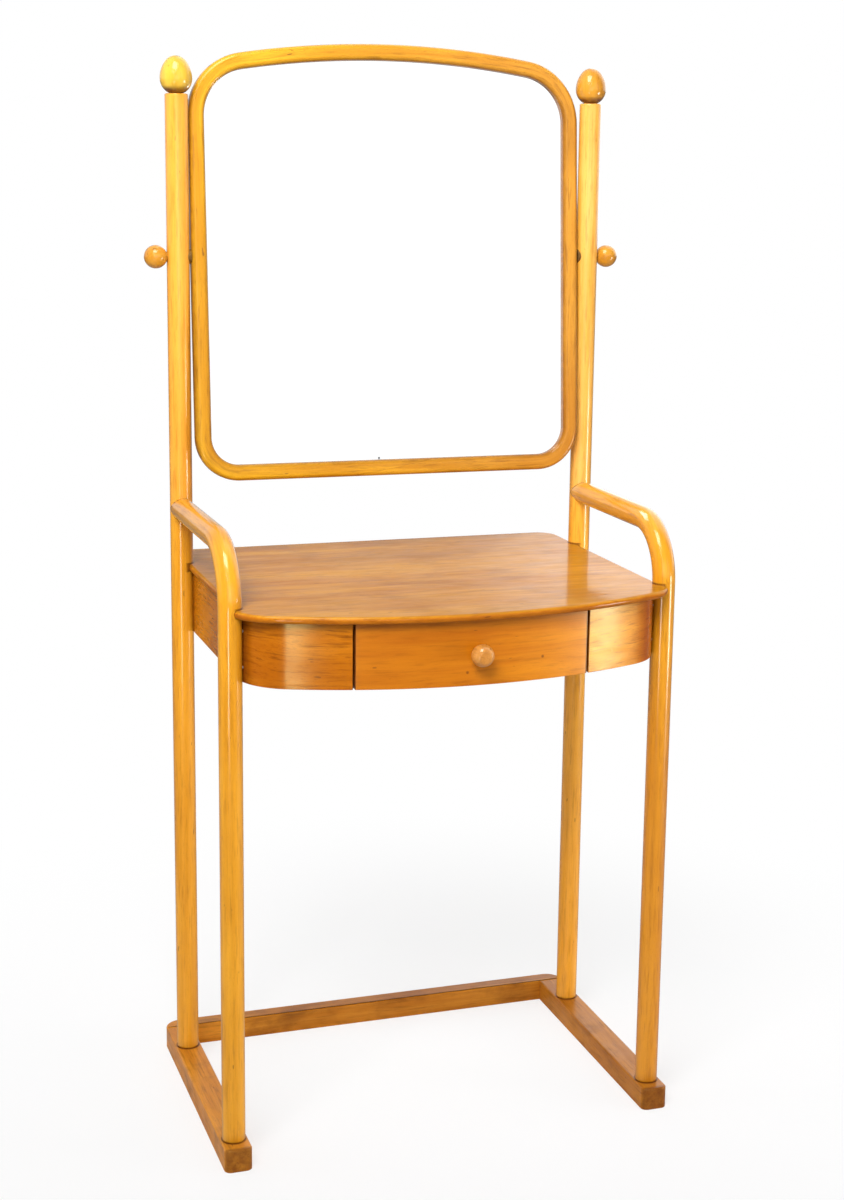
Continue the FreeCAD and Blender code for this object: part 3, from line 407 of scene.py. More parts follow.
def mirror_silver(name):
    """Silvered glass with faint clouds, dust and one small blemish above the bottom rail."""
    bright = (0.985, 0.99, 0.99, 1)
    dull = (0.97, 0.98, 0.985, 1)
    black = (0.05, 0.05, 0.05, 1)
    shader = new_shader(name)
    place = shader.place()
    parts = shader.parts(place)
    cloud = shader.noise(place, 7.0, 3.0, 0.5)
    dust = shader.noise(place, 900.0, 3.0, 0.6)
    base = shader.mix(shader.step(cloud, 0.35, 0.7), bright, dull)
    speck = shader.math("MULTIPLY", spot(shader, parts, BLEMISH, BLEMISH_RADIUS), 0.85)
    base = shader.mix(speck, base, black)
    rough = shader.step(dust, 0.72, 0.90, 0.0, 0.06)
    return shader.finish(Base_Color=base, Metallic=1.0, Roughness=rough)


# Tones of single pieces: what a timber's colour is multiplied by. Most paint light and shade onto their
# piece.

def fade(axis, low, high, first, last):
    """A tone that changes from first to last between two places along an axis."""
    def tone(shader, parts):
        return shader.mix(shader.step(parts[axis], low, high), first, last)

    return tone


def front_painted_light_and_shade(shader, parts):
    """Painted light and shade on the aprons and drawer front: painted paler from left to right, as light and
    sheen from the right, and painted dark again at the right-hand end, as shade.
    """
    left = (0.84, 0.83, 0.72, 1)
    right = (1.24, 1.48, 1.6, 1)
    far_end_shade = (0.66, 0.42, 0.3, 1)
    front = shader.mix(shader.step(parts["X"], -0.06, 0.22), left, right)
    return shader.mix(shader.step(parts["X"], 0.225, 0.272), front, far_end_shade)


def rod_painted_light_and_shade(shader, parts):
    """Painted light and shade on the rods: the posts are painted paler and whiter above the arms, the right
    one most, as light and reflections. The right leg is painted darker towards its foot, as shade.
    """
    left_lower = (0.97, 0.95, 1.1, 1)
    left_upper = (1.0, 1.0, 2.2, 1)
    right_lower = (1.10, 1.12, 2.2, 1)
    right_upper = (1.04, 1.20, 4.5, 1)
    right_foot_shade = (0.80, 0.70, 0.72, 1)
    right = shader.step(parts["X"], -0.01, 0.01)
    rear = shader.step(parts["Y"], POST_Y - 2 * ROD_RADIUS, POST_Y - ROD_RADIUS)
    foot = shader.step(parts["Z"], 0.45, ARM_Z, 1.0, 0.0)
    upper = shader.step(parts["Z"], ARM_Z - ROD_RADIUS, ARM_Z + ROD_RADIUS)
    left_post = shader.mix(upper, left_lower, left_upper)
    right_post = shader.mix(upper, right_lower, right_upper)
    legs = shader.mix(shader.math("MULTIPLY", right, foot), PLAIN, right_foot_shade)
    return shader.mix(rear, legs, shader.mix(right, left_post, right_post))


# The top's nose is painted redder and darker than its face, as shade below the upper face
nose_painted_shade = fade("Z", top_high.z - 0.004, top_high.z - 0.0008, (1.0, 0.74, 0.5, 1), PLAIN)

# The base is painted paler at its left end and darker to the right, as light from the left and shade
base_painted_light_and_shade = fade("X", -0.28, -0.1, (1.14, 1.16, 0.92, 1), (0.80, 0.78, 0.68, 1))

# The mirror frame's left limb is yellower than its right one
frame_tone = fade("X", -0.24, 0.24, (1.0, 1.18, 0.9, 1), (0.90, 0.95, 1.7, 1))


# Marks of single pieces: darkness from 0 to 1 by place, for knots, stains, dirt and painted shade

def spot(shader, parts, centre, radius):
    """A small round mark at a place in X and Z."""
    across = shader.math("SUBTRACT", parts["X"], centre[0])
    above = shader.math("SUBTRACT", parts["Z"], centre[1])
    return shader.step(shader.distance(across, above), 0.4 * radius, radius, 1.0, 0.0)


def rod_ring(shader, parts, reach, strength):
    """Darkness round the four rods that fades over a short reach."""
    across = shader.math("SUBTRACT", shader.math("ABSOLUTE", parts["X"]), POST_X)
    distances = [shader.distance(across, shader.math("SUBTRACT", parts["Y"], y)) for y in (POST_Y, LEG_Y)]
    near = shader.math("MINIMUM", *distances)
    return shader.step(near, ROD_RADIUS + NOTCH_GAP, ROD_RADIUS + reach, strength, 0.0)


def painted_shadow_under_top(shader, parts):
    """Painted shadow on upright faces, just below the top."""
    return shader.step(parts["Z"], top_low.z - 0.009, top_low.z - 0.001, 0.0, 0.45)


def rod_seams(shader, parts):
    """A dark line on the inner sides of the rods, just above the top."""
    above = shader.step(parts["Z"], top_high.z + 0.0014, top_high.z + 0.0030, 0.85, 0.0)
    below = shader.step(parts["Z"], top_low.z - 0.002, top_low.z)
    inner = shader.step(shader.math("ABSOLUTE", parts["X"]), POST_X - 0.006, POST_X - 0.001, 1.0, 0.0)
    return shader.math("MULTIPLY", shader.math("MULTIPLY", above, below), inner)


def drawer_knots_and_shade(shader, parts):
    """Two small knots in the drawer front, painted shade at its two ends, as in its gaps, and painted shadow
    below the top.
    """
    knots = [spot(shader, parts, centre, KNOT_RADIUS) for centre in KNOTS]
    dark = shader.math("MULTIPLY", shader.largest(*knots), 0.75)
    # The ends are painted dark, as shade in the gaps beside the drawer
    right = shader.step(parts["X"], DRAWER_HALF - 0.003, DRAWER_HALF - 0.001, 0.0, 0.9)
    left = shader.step(parts["X"], 0.0014 - DRAWER_HALF, 0.0004 - DRAWER_HALF, 0.0, 0.9)
    return shader.largest(dark, right, left, painted_shadow_under_top(shader, parts))


def apron_painted_shade(shader, parts):
    """Painted shade on the aprons beside the rods and at the drawer's opening, and painted shadow below the
    top.
    """
    ring = rod_ring(shader, parts, 0.020, 0.65)
    half = shader.math("ABSOLUTE", parts["X"])
    # The apron's end is painted dark, as shade in the drawer's gap
    end = shader.step(half, OPENING_HALF + 0.0003, OPENING_HALF + 0.0016, 0.9, 0.0)
    return shader.largest(ring, end, painted_shadow_under_top(shader, parts))


def top_seams_and_nose_shade(shader, parts):
    """Darkness on the top where it meets the rods, and painted shade on its nose below the upper face."""
    nose = shader.step(parts["Z"], top_high.z - 0.0055, top_high.z - 0.0015, 0.36, 0.0)
    return shader.largest(rod_ring(shader, parts, 0.0028, 0.8), nose)


def base_stains(shader, parts):
    """Dark rings at the feet of the rods, dark end grain at the front and stains along the base."""
    ring = rod_ring(shader, parts, 0.0032, 0.9)
    front = shader.step(parts["Y"], runner_low.y + 0.002, runner_low.y + 0.010, 0.75, 0.0)
    cloud = shader.stretched(shader.place(), (14, 14, 22), 4.0, 0.6, shift=(3, 1, 2))
    return shader.largest(ring, front, shader.step(cloud, 0.48, 0.72, 0.0, 0.45))


rod_wood = lacquered_wood("rod", HONEY, contrast=0.7, gloss=0.15, marks=rod_seams, tone=rod_painted_light_and_shade)
straw_wood = lacquered_wood("left_finial", STRAW, contrast=0.5, gloss=0.18)
turned_wood = lacquered_wood("turning", BISCUIT, contrast=0.4, gloss=0.14)
knob_wood = lacquered_wood("knob", TAN, contrast=0.6, gloss=0.05)
frame_wood = lacquered_wood("frame", CARAMEL, contrast=0.8, gloss=0.16, waviness=0.008, coat=0.5,
                            tone=frame_tone)
apron_wood = lacquered_wood("apron", AMBER, contrast=1.2, gloss=0.19, waviness=0.030, coat=0.1, shine=0.55,
                            relief=2.0, rough=(0.20, 0.28), marks=apron_painted_shade, tone=front_painted_light_and_shade)
drawer_wood = lacquered_wood("drawer", AMBER, contrast=0.5, gloss=0.35, waviness=0.024, coat=0.3,
                             marks=drawer_knots_and_shade, tone=front_painted_light_and_shade)
top_wood = lacquered_wood("top", GOLD, contrast=0.7, gloss=0.08, waviness=0.030, coat=0.34, coarse=1.5,
                          shine=0.03, clouds=0.28, marks=top_seams_and_nose_shade, tone=nose_painted_shade)
base_wood = lacquered_wood("base", EARTH, contrast=0.8, gloss=0.22, waviness=0.012, coat=0.2,
                           marks=base_stains, tone=base_painted_light_and_shade)
bare_wood_x = bare_wood("bare_wood_x", RAW, "XYZ")
bare_wood_y = bare_wood("bare_wood_y", RAW, "YXZ")
plywood = bare_wood("plywood", RAW, "ZXY")
drawer_ply = bare_wood("drawer_plywood", RAW, "XYZ")
steel = metal("steel", (0.62, 0.62, 0.63, 1), (0.38, 0.36, 0.34, 1), 0.28)
brass = metal("brass", (0.36, 0.21, 0.07, 1), (0.22, 0.12, 0.04, 1), 0.7)
silver = mirror_silver("mirror_silver")


# Mesh helpers. A shape has vertices, faces, and the place in the grain and the grime and painted shade of
# each vertex.

GRAIN_STEP = Vector((0.73, 0.19, 0.11))
SHARP_ANGLE = radians(40)

pieces = []

# One stop of a sweep: its place, the two axes of the section, and the distance along the grain.
# Ease is how far the section is drawn in there.
Station = namedtuple("Station", "place first second distance ease grime", defaults=(0.0, 0.0))


def placed(name, data):
    """A new object in the scene."""
    made = bpy.data.objects.new(name, data)
    bpy.context.scene.collection.objects.link(made)
    return made


def new_object(name, vertices, faces):
    """A mesh object in the scene, with its faces turned outwards."""
    mesh = bpy.data.meshes.new(name)
    mesh.from_pydata(vertices, [], faces)
    shell = bmesh.new()
    shell.from_mesh(mesh)
    bmesh.ops.recalc_face_normals(shell, faces=shell.faces)
    shell.to_mesh(mesh)
    shell.free()
    return placed(name, mesh)


def add_piece(name, shape, node, material, body="frame", flat=False):
    """A mesh piece that stands for a CAD node and rides on its body, with its own stretch of the grain."""
    vertices, faces, grain, grime = shape
    piece = new_object(name, vertices, faces)
    pieces.append(piece)
    own = GRAIN_STEP * len(pieces)
    places = [part for place in grain for part in Vector(place) + own]
    mesh = piece.data
    mesh.attributes.new("grain", "FLOAT_VECTOR", "POINT").data.foreach_set("vector", places)
    mesh.attributes.new("grime", "FLOAT", "POINT").data.foreach_set("value", grime)
    mesh.shade_smooth()
    mesh.set_sharp_from_angle(angle=SHARP_ANGLE)
    mesh.materials.append(material)
    if flat:
        weights = piece.modifiers.new("flat_faces", "WEIGHTED_NORMAL")
        weights.keep_sharp = True
    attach(piece, body)
    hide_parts(node)


def skin(rings, capped=True):
    """Faces over rings that have equal numbers of vertices, with a cap at each end unless told otherwise."""
    count = len(rings[0])
    faces = []
    for ring in range(len(rings) - 1):
        here = ring * count
        there = here + count
        for side in range(count):
            after = (side + 1) % count
            faces.append((here + side, here + after, there + after, there + side))
    if capped:
        faces.append(tuple(range(count)))
        last = (len(rings) - 1) * count
        faces.append(tuple(range(last, last + count)))
    return [vertex for ring in rings for vertex in ring], faces


def straight_grained(vertices, faces, order):
    """A clean shape whose grain runs along the first axis of an order such as yxz."""
    grain = [[getattr(vertex, axis) for axis in order] for vertex in vertices]
    return vertices, faces, grain, [0.0] * len(vertices)


def quarter(steps):
    """Angles of a quarter turn, with both ends."""
    return [QUARTER_TURN * step / steps for step in range(steps + 1)]


def circle(radius, count):
    """Points round a circle."""
    turns = [2 * pi * step / count for step in range(count)]
    return [(radius * cos(turn), radius * sin(turn)) for turn in turns]


def arc(centre, radius, start, end, steps):
    """Points of an arc, with both ends. Angles in radians."""
    turns = [start + (end - start) * step / steps for step in range(steps + 1)]
    return [(centre[0] + radius * cos(turn), centre[1] + radius * sin(turn)) for turn in turns]


def rounded_rectangle(low, high, radius, steps=4):
    """A rectangle with round corners, from its lowest corner round."""
    near_x = low[0] + radius
    near_y = low[1] + radius
    far_x = high[0] - radius
    far_y = high[1] - radius
    points = []
    for corner, centre in enumerate(((near_x, near_y), (far_x, near_y), (far_x, far_y), (near_x, far_y))):
        start = pi + corner * QUARTER_TURN
        points += arc(centre, radius, start, start + QUARTER_TURN, steps)
    return points


def swept(stations, section_at, capped=True):
    """A section carried along stations. It is asked for by the station's ease."""
    rings = []
    grain = []
    grime = []
    for stop in stations:
        section = section_at(stop.ease)
        rings.append([stop.place + stop.first * a + stop.second * b for a, b in section])
        grain += [(stop.distance, a, b) for a, b in section]
        grime += [stop.grime] * len(section)
    vertices, faces = skin(rings, capped)
    return vertices, faces, grain, grime


def eased_ends(stations, size):
    """Break a sweep's sharp ends: each is drawn in, and the full section starts a little further on."""
    def eased(end, neighbour):
        along = (neighbour.place - end.place).normalized()
        return end._replace(ease=size), end._replace(place=end.place + along * size)

    first = eased(stations[0], stations[1])
    last = eased(stations[-1], stations[-2])
    return [*first, *stations[1:-1], *reversed(last)]


def turned(profile, origin, axis, count=56):
    """A profile of (radius, height) turned about an axis through a point. Its grain runs along the axis."""
    side = axis.orthogonal().normalized()
    other = axis.cross(side).normalized()
    rings = []
    grain = []
    for radius, height in profile:
        ring = circle(radius, count)
        rings.append([origin + axis * height + side * a + other * b for a, b in ring])
        grain += [(height, a, b) for a, b in ring]
    vertices, faces = skin(rings)
    return vertices, faces, grain, [0.0] * len(vertices)


def inset(outline, depth):
    """A closed anticlockwise outline moved inwards, with mitred corners."""
    moved = []
    count = len(outline)
    for index in range(count):
        before = Vector(outline[index - 1])
        here = Vector(outline[index])
        after = Vector(outline[(index + 1) % count])
        into = (here - before).normalized()
        out = (after - here).normalized()
        first = Vector((-into.y, into.x))
        second = Vector((-out.y, out.x))
        moved.append(tuple(here + (first + second) / (1 + first.dot(second)) * depth))
    return moved


def plate(outline, low, high, lower_round, upper_round, steps=5):
    """A flat piece with rounded edges: rings of its outline from the underside to the upper face."""
    levels = []
    for turn in quarter(steps):
        levels.append((lower_round * (1 - sin(turn)), low + lower_round * (1 - cos(turn))))
    for turn in quarter(steps):
        levels.append((upper_round * (1 - cos(turn)), high - upper_round * (1 - sin(turn))))
    rings = []
    for depth, height in levels:
        rings.append([Vector((x, y, height)) for x, y in inset(outline, depth)])
    return skin(rings)


# Posts, legs and finials

def rod_section(ease):
    """A rod's round section."""
    return circle(ROD_RADIUS - ease, ROD_SIDES)


def post(side):
    """A straight rod with an eased foot and a rounded rim at its top."""
    stations = []

    def add_station(height, ease=0.0, grime=0.0):
        place = Vector((side * POST_X, POST_Y, height))
        stations.append(Station(place, X_AXIS, Y_AXIS, height, ease, grime))

    for rise, ease, grime in FOOT_RINGS:
        add_station(BASE_TOP + rise, ease, grime)
    for height in (top_low.z, ARM_Z, PIVOT.z):
        add_station(height)
    for turn in quarter(4):
        add_station(POST_TOP - POST_RIM * (1 - sin(turn)), POST_RIM * (1 - cos(turn)), RIM_GRIME)
    hand = HANDS[side]
    shape = swept(stations, rod_section)
    add_piece(f"post_{hand}", shape, f"{hand}_rear_post", rod_wood)


def leg(side):
    """A rod that rises to the table, bends back into an arm and is coped to the post."""
    stations = []

    def add_station(y, height, turn, distance, ease=0.0, grime=0.0):
        inward = Vector((0, cos(turn), -sin(turn)))
        stations.append(Station(Vector((side * POST_X, y, height)), X_AXIS, inward, distance, ease, grime))

    bend_start = ARM_Z - ARM_BEND
    upright = bend_start - BASE_TOP
    for rise, ease, grime in FOOT_RINGS:
        add_station(LEG_Y, BASE_TOP + rise, 0.0, rise, ease, grime)
    for share in (0.3, 0.6, 0.9, 1.0):
        add_station(LEG_Y, BASE_TOP + upright * share, 0.0, upright * share)
    for turn in quarter(20)[1:]:
        y = LEG_Y + ARM_BEND * (1 - cos(turn))
        height = bend_start + ARM_BEND * sin(turn)
        add_station(y, height, turn, upright + ARM_BEND * turn)
    bent = upright + ARM_BEND * QUARTER_TURN
    arm_start = LEG_Y + ARM_BEND
    arm_end = POST_Y - ROD_RADIUS - CLEAN_ARM_GAP
    for share in (0.5, 0.9, 1.0):
        y = arm_start + (arm_end - arm_start) * share
        add_station(y, ARM_Z, QUARTER_TURN, bent + y - arm_start)
    for gap, grime in COPE_RINGS:
        y = POST_Y - gap
        add_station(y, ARM_Z, QUARTER_TURN, bent + y - arm_start, 0.0, grime)
    shape = swept(stations, rod_section)
    vertices = shape[0]
    for vertex in vertices[-ROD_SIDES * len(COPE_RINGS):]:
        across = vertex.x - side * POST_X
        vertex.y -= sqrt(max(ROD_RADIUS ** 2 - across ** 2, 0.0))
    hand = HANDS[side]
    add_piece(f"leg_{hand}", shape, f"{hand}_front_leg", rod_wood)


def finial(side):
    """A turned egg on a narrow neck, with painted shade at the neck and the bottom of the egg."""
    hand = HANDS[side]
    height = box_of(f"{hand}_finial")[1].z - POST_TOP
    belly = sqrt(FINIAL_RADIUS ** 2 - FINIAL_NECK ** 2)
    rise = height - belly - FINIAL_TIP
    flank = (FINIAL_RADIUS ** 2 + rise ** 2 - FINIAL_TIP ** 2) / (2 * (FINIAL_RADIUS - FINIAL_TIP))
    meet = atan2(rise, flank - FINIAL_RADIUS)
    profile = [(FINIAL_NECK, -FINIAL_SINK)]
    profile += arc((0, belly), FINIAL_RADIUS, asin(-belly / FINIAL_RADIUS), 0, 12)
    profile += arc((FINIAL_RADIUS - flank, belly), flank, 0, meet, 10)[1:]
    profile += arc((0, height - FINIAL_TIP), FINIAL_TIP, meet, TIP_END, 10)[1:]
    vertices, faces, grain, _ = turned(profile, Vector((side * POST_X, POST_Y, POST_TOP)), Z_AXIS)
    # Painted shade, darkest at the neck and fading up the egg
    fades = [FINIAL_SHADE * (1 - (vertex.z - POST_TOP) / FINIAL_SHADE_HEIGHT) for vertex in vertices]
    grime = [min(1.0, max(0.0, fade)) for fade in fades]
    wood = straw_wood if side == LEFT else turned_wood
    shape = (vertices, faces, grain, grime)
    add_piece(f"finial_{hand}", shape, f"{hand}_finial", wood)


for side in HANDS:
    post(side)
    leg(side)
    finial(side)


# Base

def runner(side):
    """A floor runner with a rounded front end."""
    left = side * POST_X - runner_size.x / 2
    right = side * POST_X + runner_size.x / 2
    nose_y = runner_low.y + RUNNER_NOSE
    down = 3 * QUARTER_TURN
    outline = [(right, rail_low.y), (left, rail_low.y)]
    outline += arc((left + RUNNER_NOSE, nose_y), RUNNER_NOSE, pi, down, 8)
    outline += arc((right - RUNNER_NOSE, nose_y), RUNNER_NOSE, down, 2 * pi, 8)
    solid = plate(outline, 0.0, BASE_TOP, BASE_FOOT_ROUND, BASE_ROUND)
    shape = straight_grained(*solid, "yxz")
    hand = HANDS[side]
    add_piece(f"runner_{hand}", shape, f"{hand}_runner", base_wood, flat=True)


def rail():
    """The rear rail, round at its two rear corners."""
    half = rail_size.x / 2
    radius = rail_size.y - RAIL_CORNER_FLAT
    centre_y = rail_high.y - radius
    outline = [(-half, rail_low.y), (half, rail_low.y)]
    outline += arc((half - radius, centre_y), radius, 0, QUARTER_TURN, 12)
    outline += arc((-half + radius, centre_y), radius, QUARTER_TURN, pi, 12)
    solid = plate(outline, 0.0, BASE_TOP, BASE_FOOT_ROUND, BASE_ROUND)
    shape = straight_grained(*solid, "xyz")
    add_piece("rail", shape, "rear_rail", base_wood, flat=True)


for side in HANDS:
    runner(side)
rail()


# Table top and aprons

def top_outline():
    """The top's outline from above, anticlockwise from the right, wider in front of the legs."""
    half = POST_X - TOP_INSET
    corner_x = half + TOP_FLARE - TOP_FRONT_CORNER
    spread = asin(corner_x / (BOW_RADIUS - TOP_FRONT_CORNER))
    corner_y = BOW_Y - (BOW_RADIUS - TOP_FRONT_CORNER) * cos(spread)
    shoulder_y = LEG_Y + ROD_RADIUS / 2
    rear_x = half - TOP_REAR_CORNER
    rear_y = top_high.y - TOP_REAR_CORNER
    down = 3 * QUARTER_TURN
    points = arc((rear_x, rear_y), TOP_REAR_CORNER, 0, QUARTER_TURN, 10)
    points += arc((-rear_x, rear_y), TOP_REAR_CORNER, QUARTER_TURN, pi, 10)
    points.append((-half, shoulder_y))
    points += arc((-corner_x, corner_y), TOP_FRONT_CORNER, pi, down - spread, 22)
    points += arc((0, BOW_Y), BOW_RADIUS, down - spread, down + spread, 60)[1:]
    points += arc((corner_x, corner_y), TOP_FRONT_CORNER, down + spread, 2 * pi, 22)[1:]
    points.append((half, shoulder_y))
    return points


def notched(blank):
    """A panel's mesh with round notches for the four rods cut out of its edge."""
    ring = circle(ROD_RADIUS + NOTCH_GAP, 64)
    heights = (top_low.z - CUTTER_PAST, top_high.z + CUTTER_PAST)
    cutters = []
    for side in HANDS:
        for y in (POST_Y, LEG_Y):
            rings = [[Vector((side * POST_X + a, y + b, height)) for a, b in ring] for height in heights]
            cutters.append(new_object("notch", *skin(rings)))
            cut = blank.modifiers.new("notch", "BOOLEAN")
            cut.operation = "DIFFERENCE"
            cut.object = cutters[-1]
    bpy.context.view_layer.update()
    depsgraph = bpy.context.evaluated_depsgraph_get()
    result = bpy.data.meshes.new_from_object(blank.evaluated_get(depsgraph))
    for used in cutters + [blank]:
        bpy.data.objects.remove(used)
    return result


def table_top():
    """A thin bowed panel with a rounded nose all round."""
    nose = (top_size.z - TOP_FLAT_EDGE) / 2
    blank = new_object("top_blank", *plate(top_outline(), top_low.z, top_high.z, nose, nose, 6))
    panel = notched(blank)
    vertices = [vertex.co.copy() for vertex in panel.vertices]
    faces = [tuple(face.vertices) for face in panel.polygons]
    shape = straight_grained(vertices, faces, "xyz")
    add_piece("top", shape, "table_top", top_wood, flat=True)


def apron_stations(side):
    """Stations along an apron's outer face, from the back of the side to the drawer."""
    outer = apron_high.x
    corner_x = outer - APRON_CORNER
    spread = asin(corner_x / (APRON_BOW - APRON_CORNER))
    corner_y = BOW_Y - (APRON_BOW - APRON_CORNER) * cos(spread)
    corner_end = spread - QUARTER_TURN
    bow_end = asin(OPENING_HALF / APRON_BOW) - QUARTER_TURN
    corner_steps = 24
    bow_steps = 8
    stations = []

    def add_station(x, y, turn, distance):
        inward = Vector((-side * cos(turn), -sin(turn), 0))
        stations.append(Station(Vector((side * x, y, 0)), inward, Z_AXIS, distance))

    straight = apron_high.y - corner_y
    for share in (0, 0.25, 0.5, 0.75, 1.0):
        add_station(outer, apron_high.y - straight * share, 0.0, straight * share)
    for step in range(1, corner_steps + 1):
        turn = corner_end * step / corner_steps
        x = corner_x + APRON_CORNER * cos(turn)
        add_station(x, corner_y + APRON_CORNER * sin(turn), turn, straight - APRON_CORNER * turn)
    cornered = straight - APRON_CORNER * corner_end
    for step in range(1, bow_steps + 1):
        turn = corner_end + (bow_end - corner_end) * step / bow_steps
        y = BOW_Y + APRON_BOW * sin(turn)
        add_station(APRON_BOW * cos(turn), y, turn, cornered + APRON_BOW * (corner_end - turn))
    return stations


def band_section(thickness, low, high):
    """A band's section: thickness from the outer face inwards, and height."""
    def section(ease):
        return rounded_rectangle((ease, low + ease), (thickness - ease, high - ease), BAND_EDGE_ROUND)

    return section


def apron(side):
    """A bent band with broken edges. Its front end is cut straight back at the drawer's opening."""
    section = band_section(APRON_THICKNESS, apron_low.z, apron_high.z)
    shape = swept(eased_ends(apron_stations(side), ARRIS), section)
    vertices = shape[0]
    count = len(section(0.0))
    end_rings = ((vertices[-count:], OPENING_HALF), (vertices[-2 * count:-count], OPENING_HALF + ARRIS))
    for ring, plane in end_rings:
        for vertex in ring:
            reach = hypot(vertex.x, vertex.y - BOW_Y)
            vertex.x = side * plane
            vertex.y = BOW_Y - sqrt(reach ** 2 - plane ** 2)
    hand = HANDS[side]
    add_piece(f"apron_{hand}", shape, f"{hand}_apron", apron_wood, flat=True)


table_top()
for side in HANDS:
    apron(side)


# Drawer front and knob

def drawer_front():
    """The bowed front between the aprons."""
    section = band_section(DRAWER_THICKNESS, front_low.z, front_high.z)
    inner = DRAWER_HALF - ARRIS
    steps = 40
    stops = [(-DRAWER_HALF, ARRIS)]
    stops += [(-inner + 2 * inner * step / steps, 0.0) for step in range(steps + 1)]
    stops.append((DRAWER_HALF, ARRIS))
    rings = []
    grain = []
    for x, ease in stops:
        points = section(ease)
        rings.append([Vector((x, BOW_Y - sqrt((APRON_BOW - a) ** 2 - x ** 2), b)) for a, b in points])
        grain += [(x, b, a) for a, b in points]
    vertices, faces = skin(rings)
    shape = (vertices, faces, grain, [0.0] * len(vertices))
    add_piece("drawer_face", shape, "drawer_front", drawer_wood, "drawer", flat=True)


def drawer_knob():
    """A turned ball on a short neck that flares at its foot. Its tip is worn flat."""
    low, high, size = box_of("drawer_knob")
    reach = size.y
    centre = reach - sqrt(KNOB_RADIUS ** 2 - KNOB_FLAT ** 2)
    start = -acos(KNOB_NECK / KNOB_RADIUS)
    end = acos(KNOB_FLAT / KNOB_RADIUS)
    flare = [(KNOB_NECK + 0.0004, -0.0005), (KNOB_NECK, 0.0006)]
    worn = [(KNOB_FLAT - 0.0012, reach - 0.0001), (KNOB_FLAT * 0.5, reach), (0.0004, reach)]
    profile = flare + arc((0, centre), KNOB_RADIUS, start, end, 24) + worn
    middle = Vector(((low.x + high.x) / 2, high.y, (low.z + high.z) / 2))
    add_piece("knob", turned(profile, middle, -Y_AXIS), "drawer_knob", knob_wood, "drawer")


drawer_front()
drawer_knob()


# Mirror

def frame_stations():
    """Stations round the mirror's outer edge, in the plane of the mirror, with X to the right and Z up.

    They start and end in the middle of the bottom rail."""
    half = MIRROR_HALF
    arch_z = MIRROR_TOP - MIRROR_ARCH
    corner_x = half - MIRROR_TOP_CORNER
    spread = asin(corner_x / (MIRROR_ARCH - MIRROR_TOP_CORNER))
    corner_z = arch_z + (MIRROR_ARCH - MIRROR_TOP_CORNER) * cos(spread)
    foot_z = -MIRROR_BOTTOM + MIRROR_BOTTOM_CORNER
    foot_x = half - MIRROR_BOTTOM_CORNER
    up = QUARTER_TURN
    corner_steps = 18
    arch_steps = 40

    def bend(centre, radius, start, end, steps):
        turns = [start + (end - start) * step / steps for step in range(steps + 1)]
        return list(zip(arc(centre, radius, start, end, steps), turns))

    stops = [((x, -MIRROR_BOTTOM), -up) for x in (0.0, GLUE_LINE, foot_x / 2)]
    stops += bend((foot_x, foot_z), MIRROR_BOTTOM_CORNER, -up, 0.0, corner_steps)
    stops += [((half, z), 0.0) for z in (foot_z / 2, 0.0, corner_z / 2)]
    stops += bend((corner_x, corner_z), MIRROR_TOP_CORNER, 0.0, up - spread, corner_steps)
    stops += bend((0.0, arch_z), MIRROR_ARCH, up - spread, up + spread, arch_steps)[1:]
    stops += bend((-corner_x, corner_z), MIRROR_TOP_CORNER, up + spread, 2 * up, corner_steps)[1:]
    stops += [((-half, z), 2 * up) for z in (corner_z / 2, 0.0, foot_z / 2)]
    stops += bend((-foot_x, foot_z), MIRROR_BOTTOM_CORNER, 2 * up, 3 * up, corner_steps)
    stops += [((x, -MIRROR_BOTTOM), -up) for x in (-foot_x / 2, -GLUE_LINE, 0.0)]
    stations = []
    distance = 0.0
    for (x, z), turn in stops:
        here = Vector((x, 0, z))
        if stations:
            distance += (here - stations[-1].place).length
        inward = Vector((-cos(turn), 0, -sin(turn)))
        stations.append(Station(here, inward, Y_AXIS, distance))
    return stations


def frame_section():
    """The frame's section with its rebate: depth from the outer edge, and place from front to back."""
    front = -FRAME_DEPTH / 2
    back = FRAME_DEPTH / 2
    lip = front + REBATE_LIP
    wall = FRAME_FACE - REBATE_WIDTH
    steps = 7
    per_corner = steps + 1
    points = rounded_rectangle((0.0, front), (FRAME_FACE, back), FRAME_ROUND, steps)
    rebate = [(FRAME_FACE, lip), (wall, lip), (wall, back)]
    return points[:2 * per_corner] + rebate + points[3 * per_corner:]


def leaned(vertices):
    """Mirror places, leaned back about the pivot."""
    turn = Matrix.Rotation(MIRROR_LEAN, 3, "X")
    return [PIVOT + turn @ vertex for vertex in vertices]


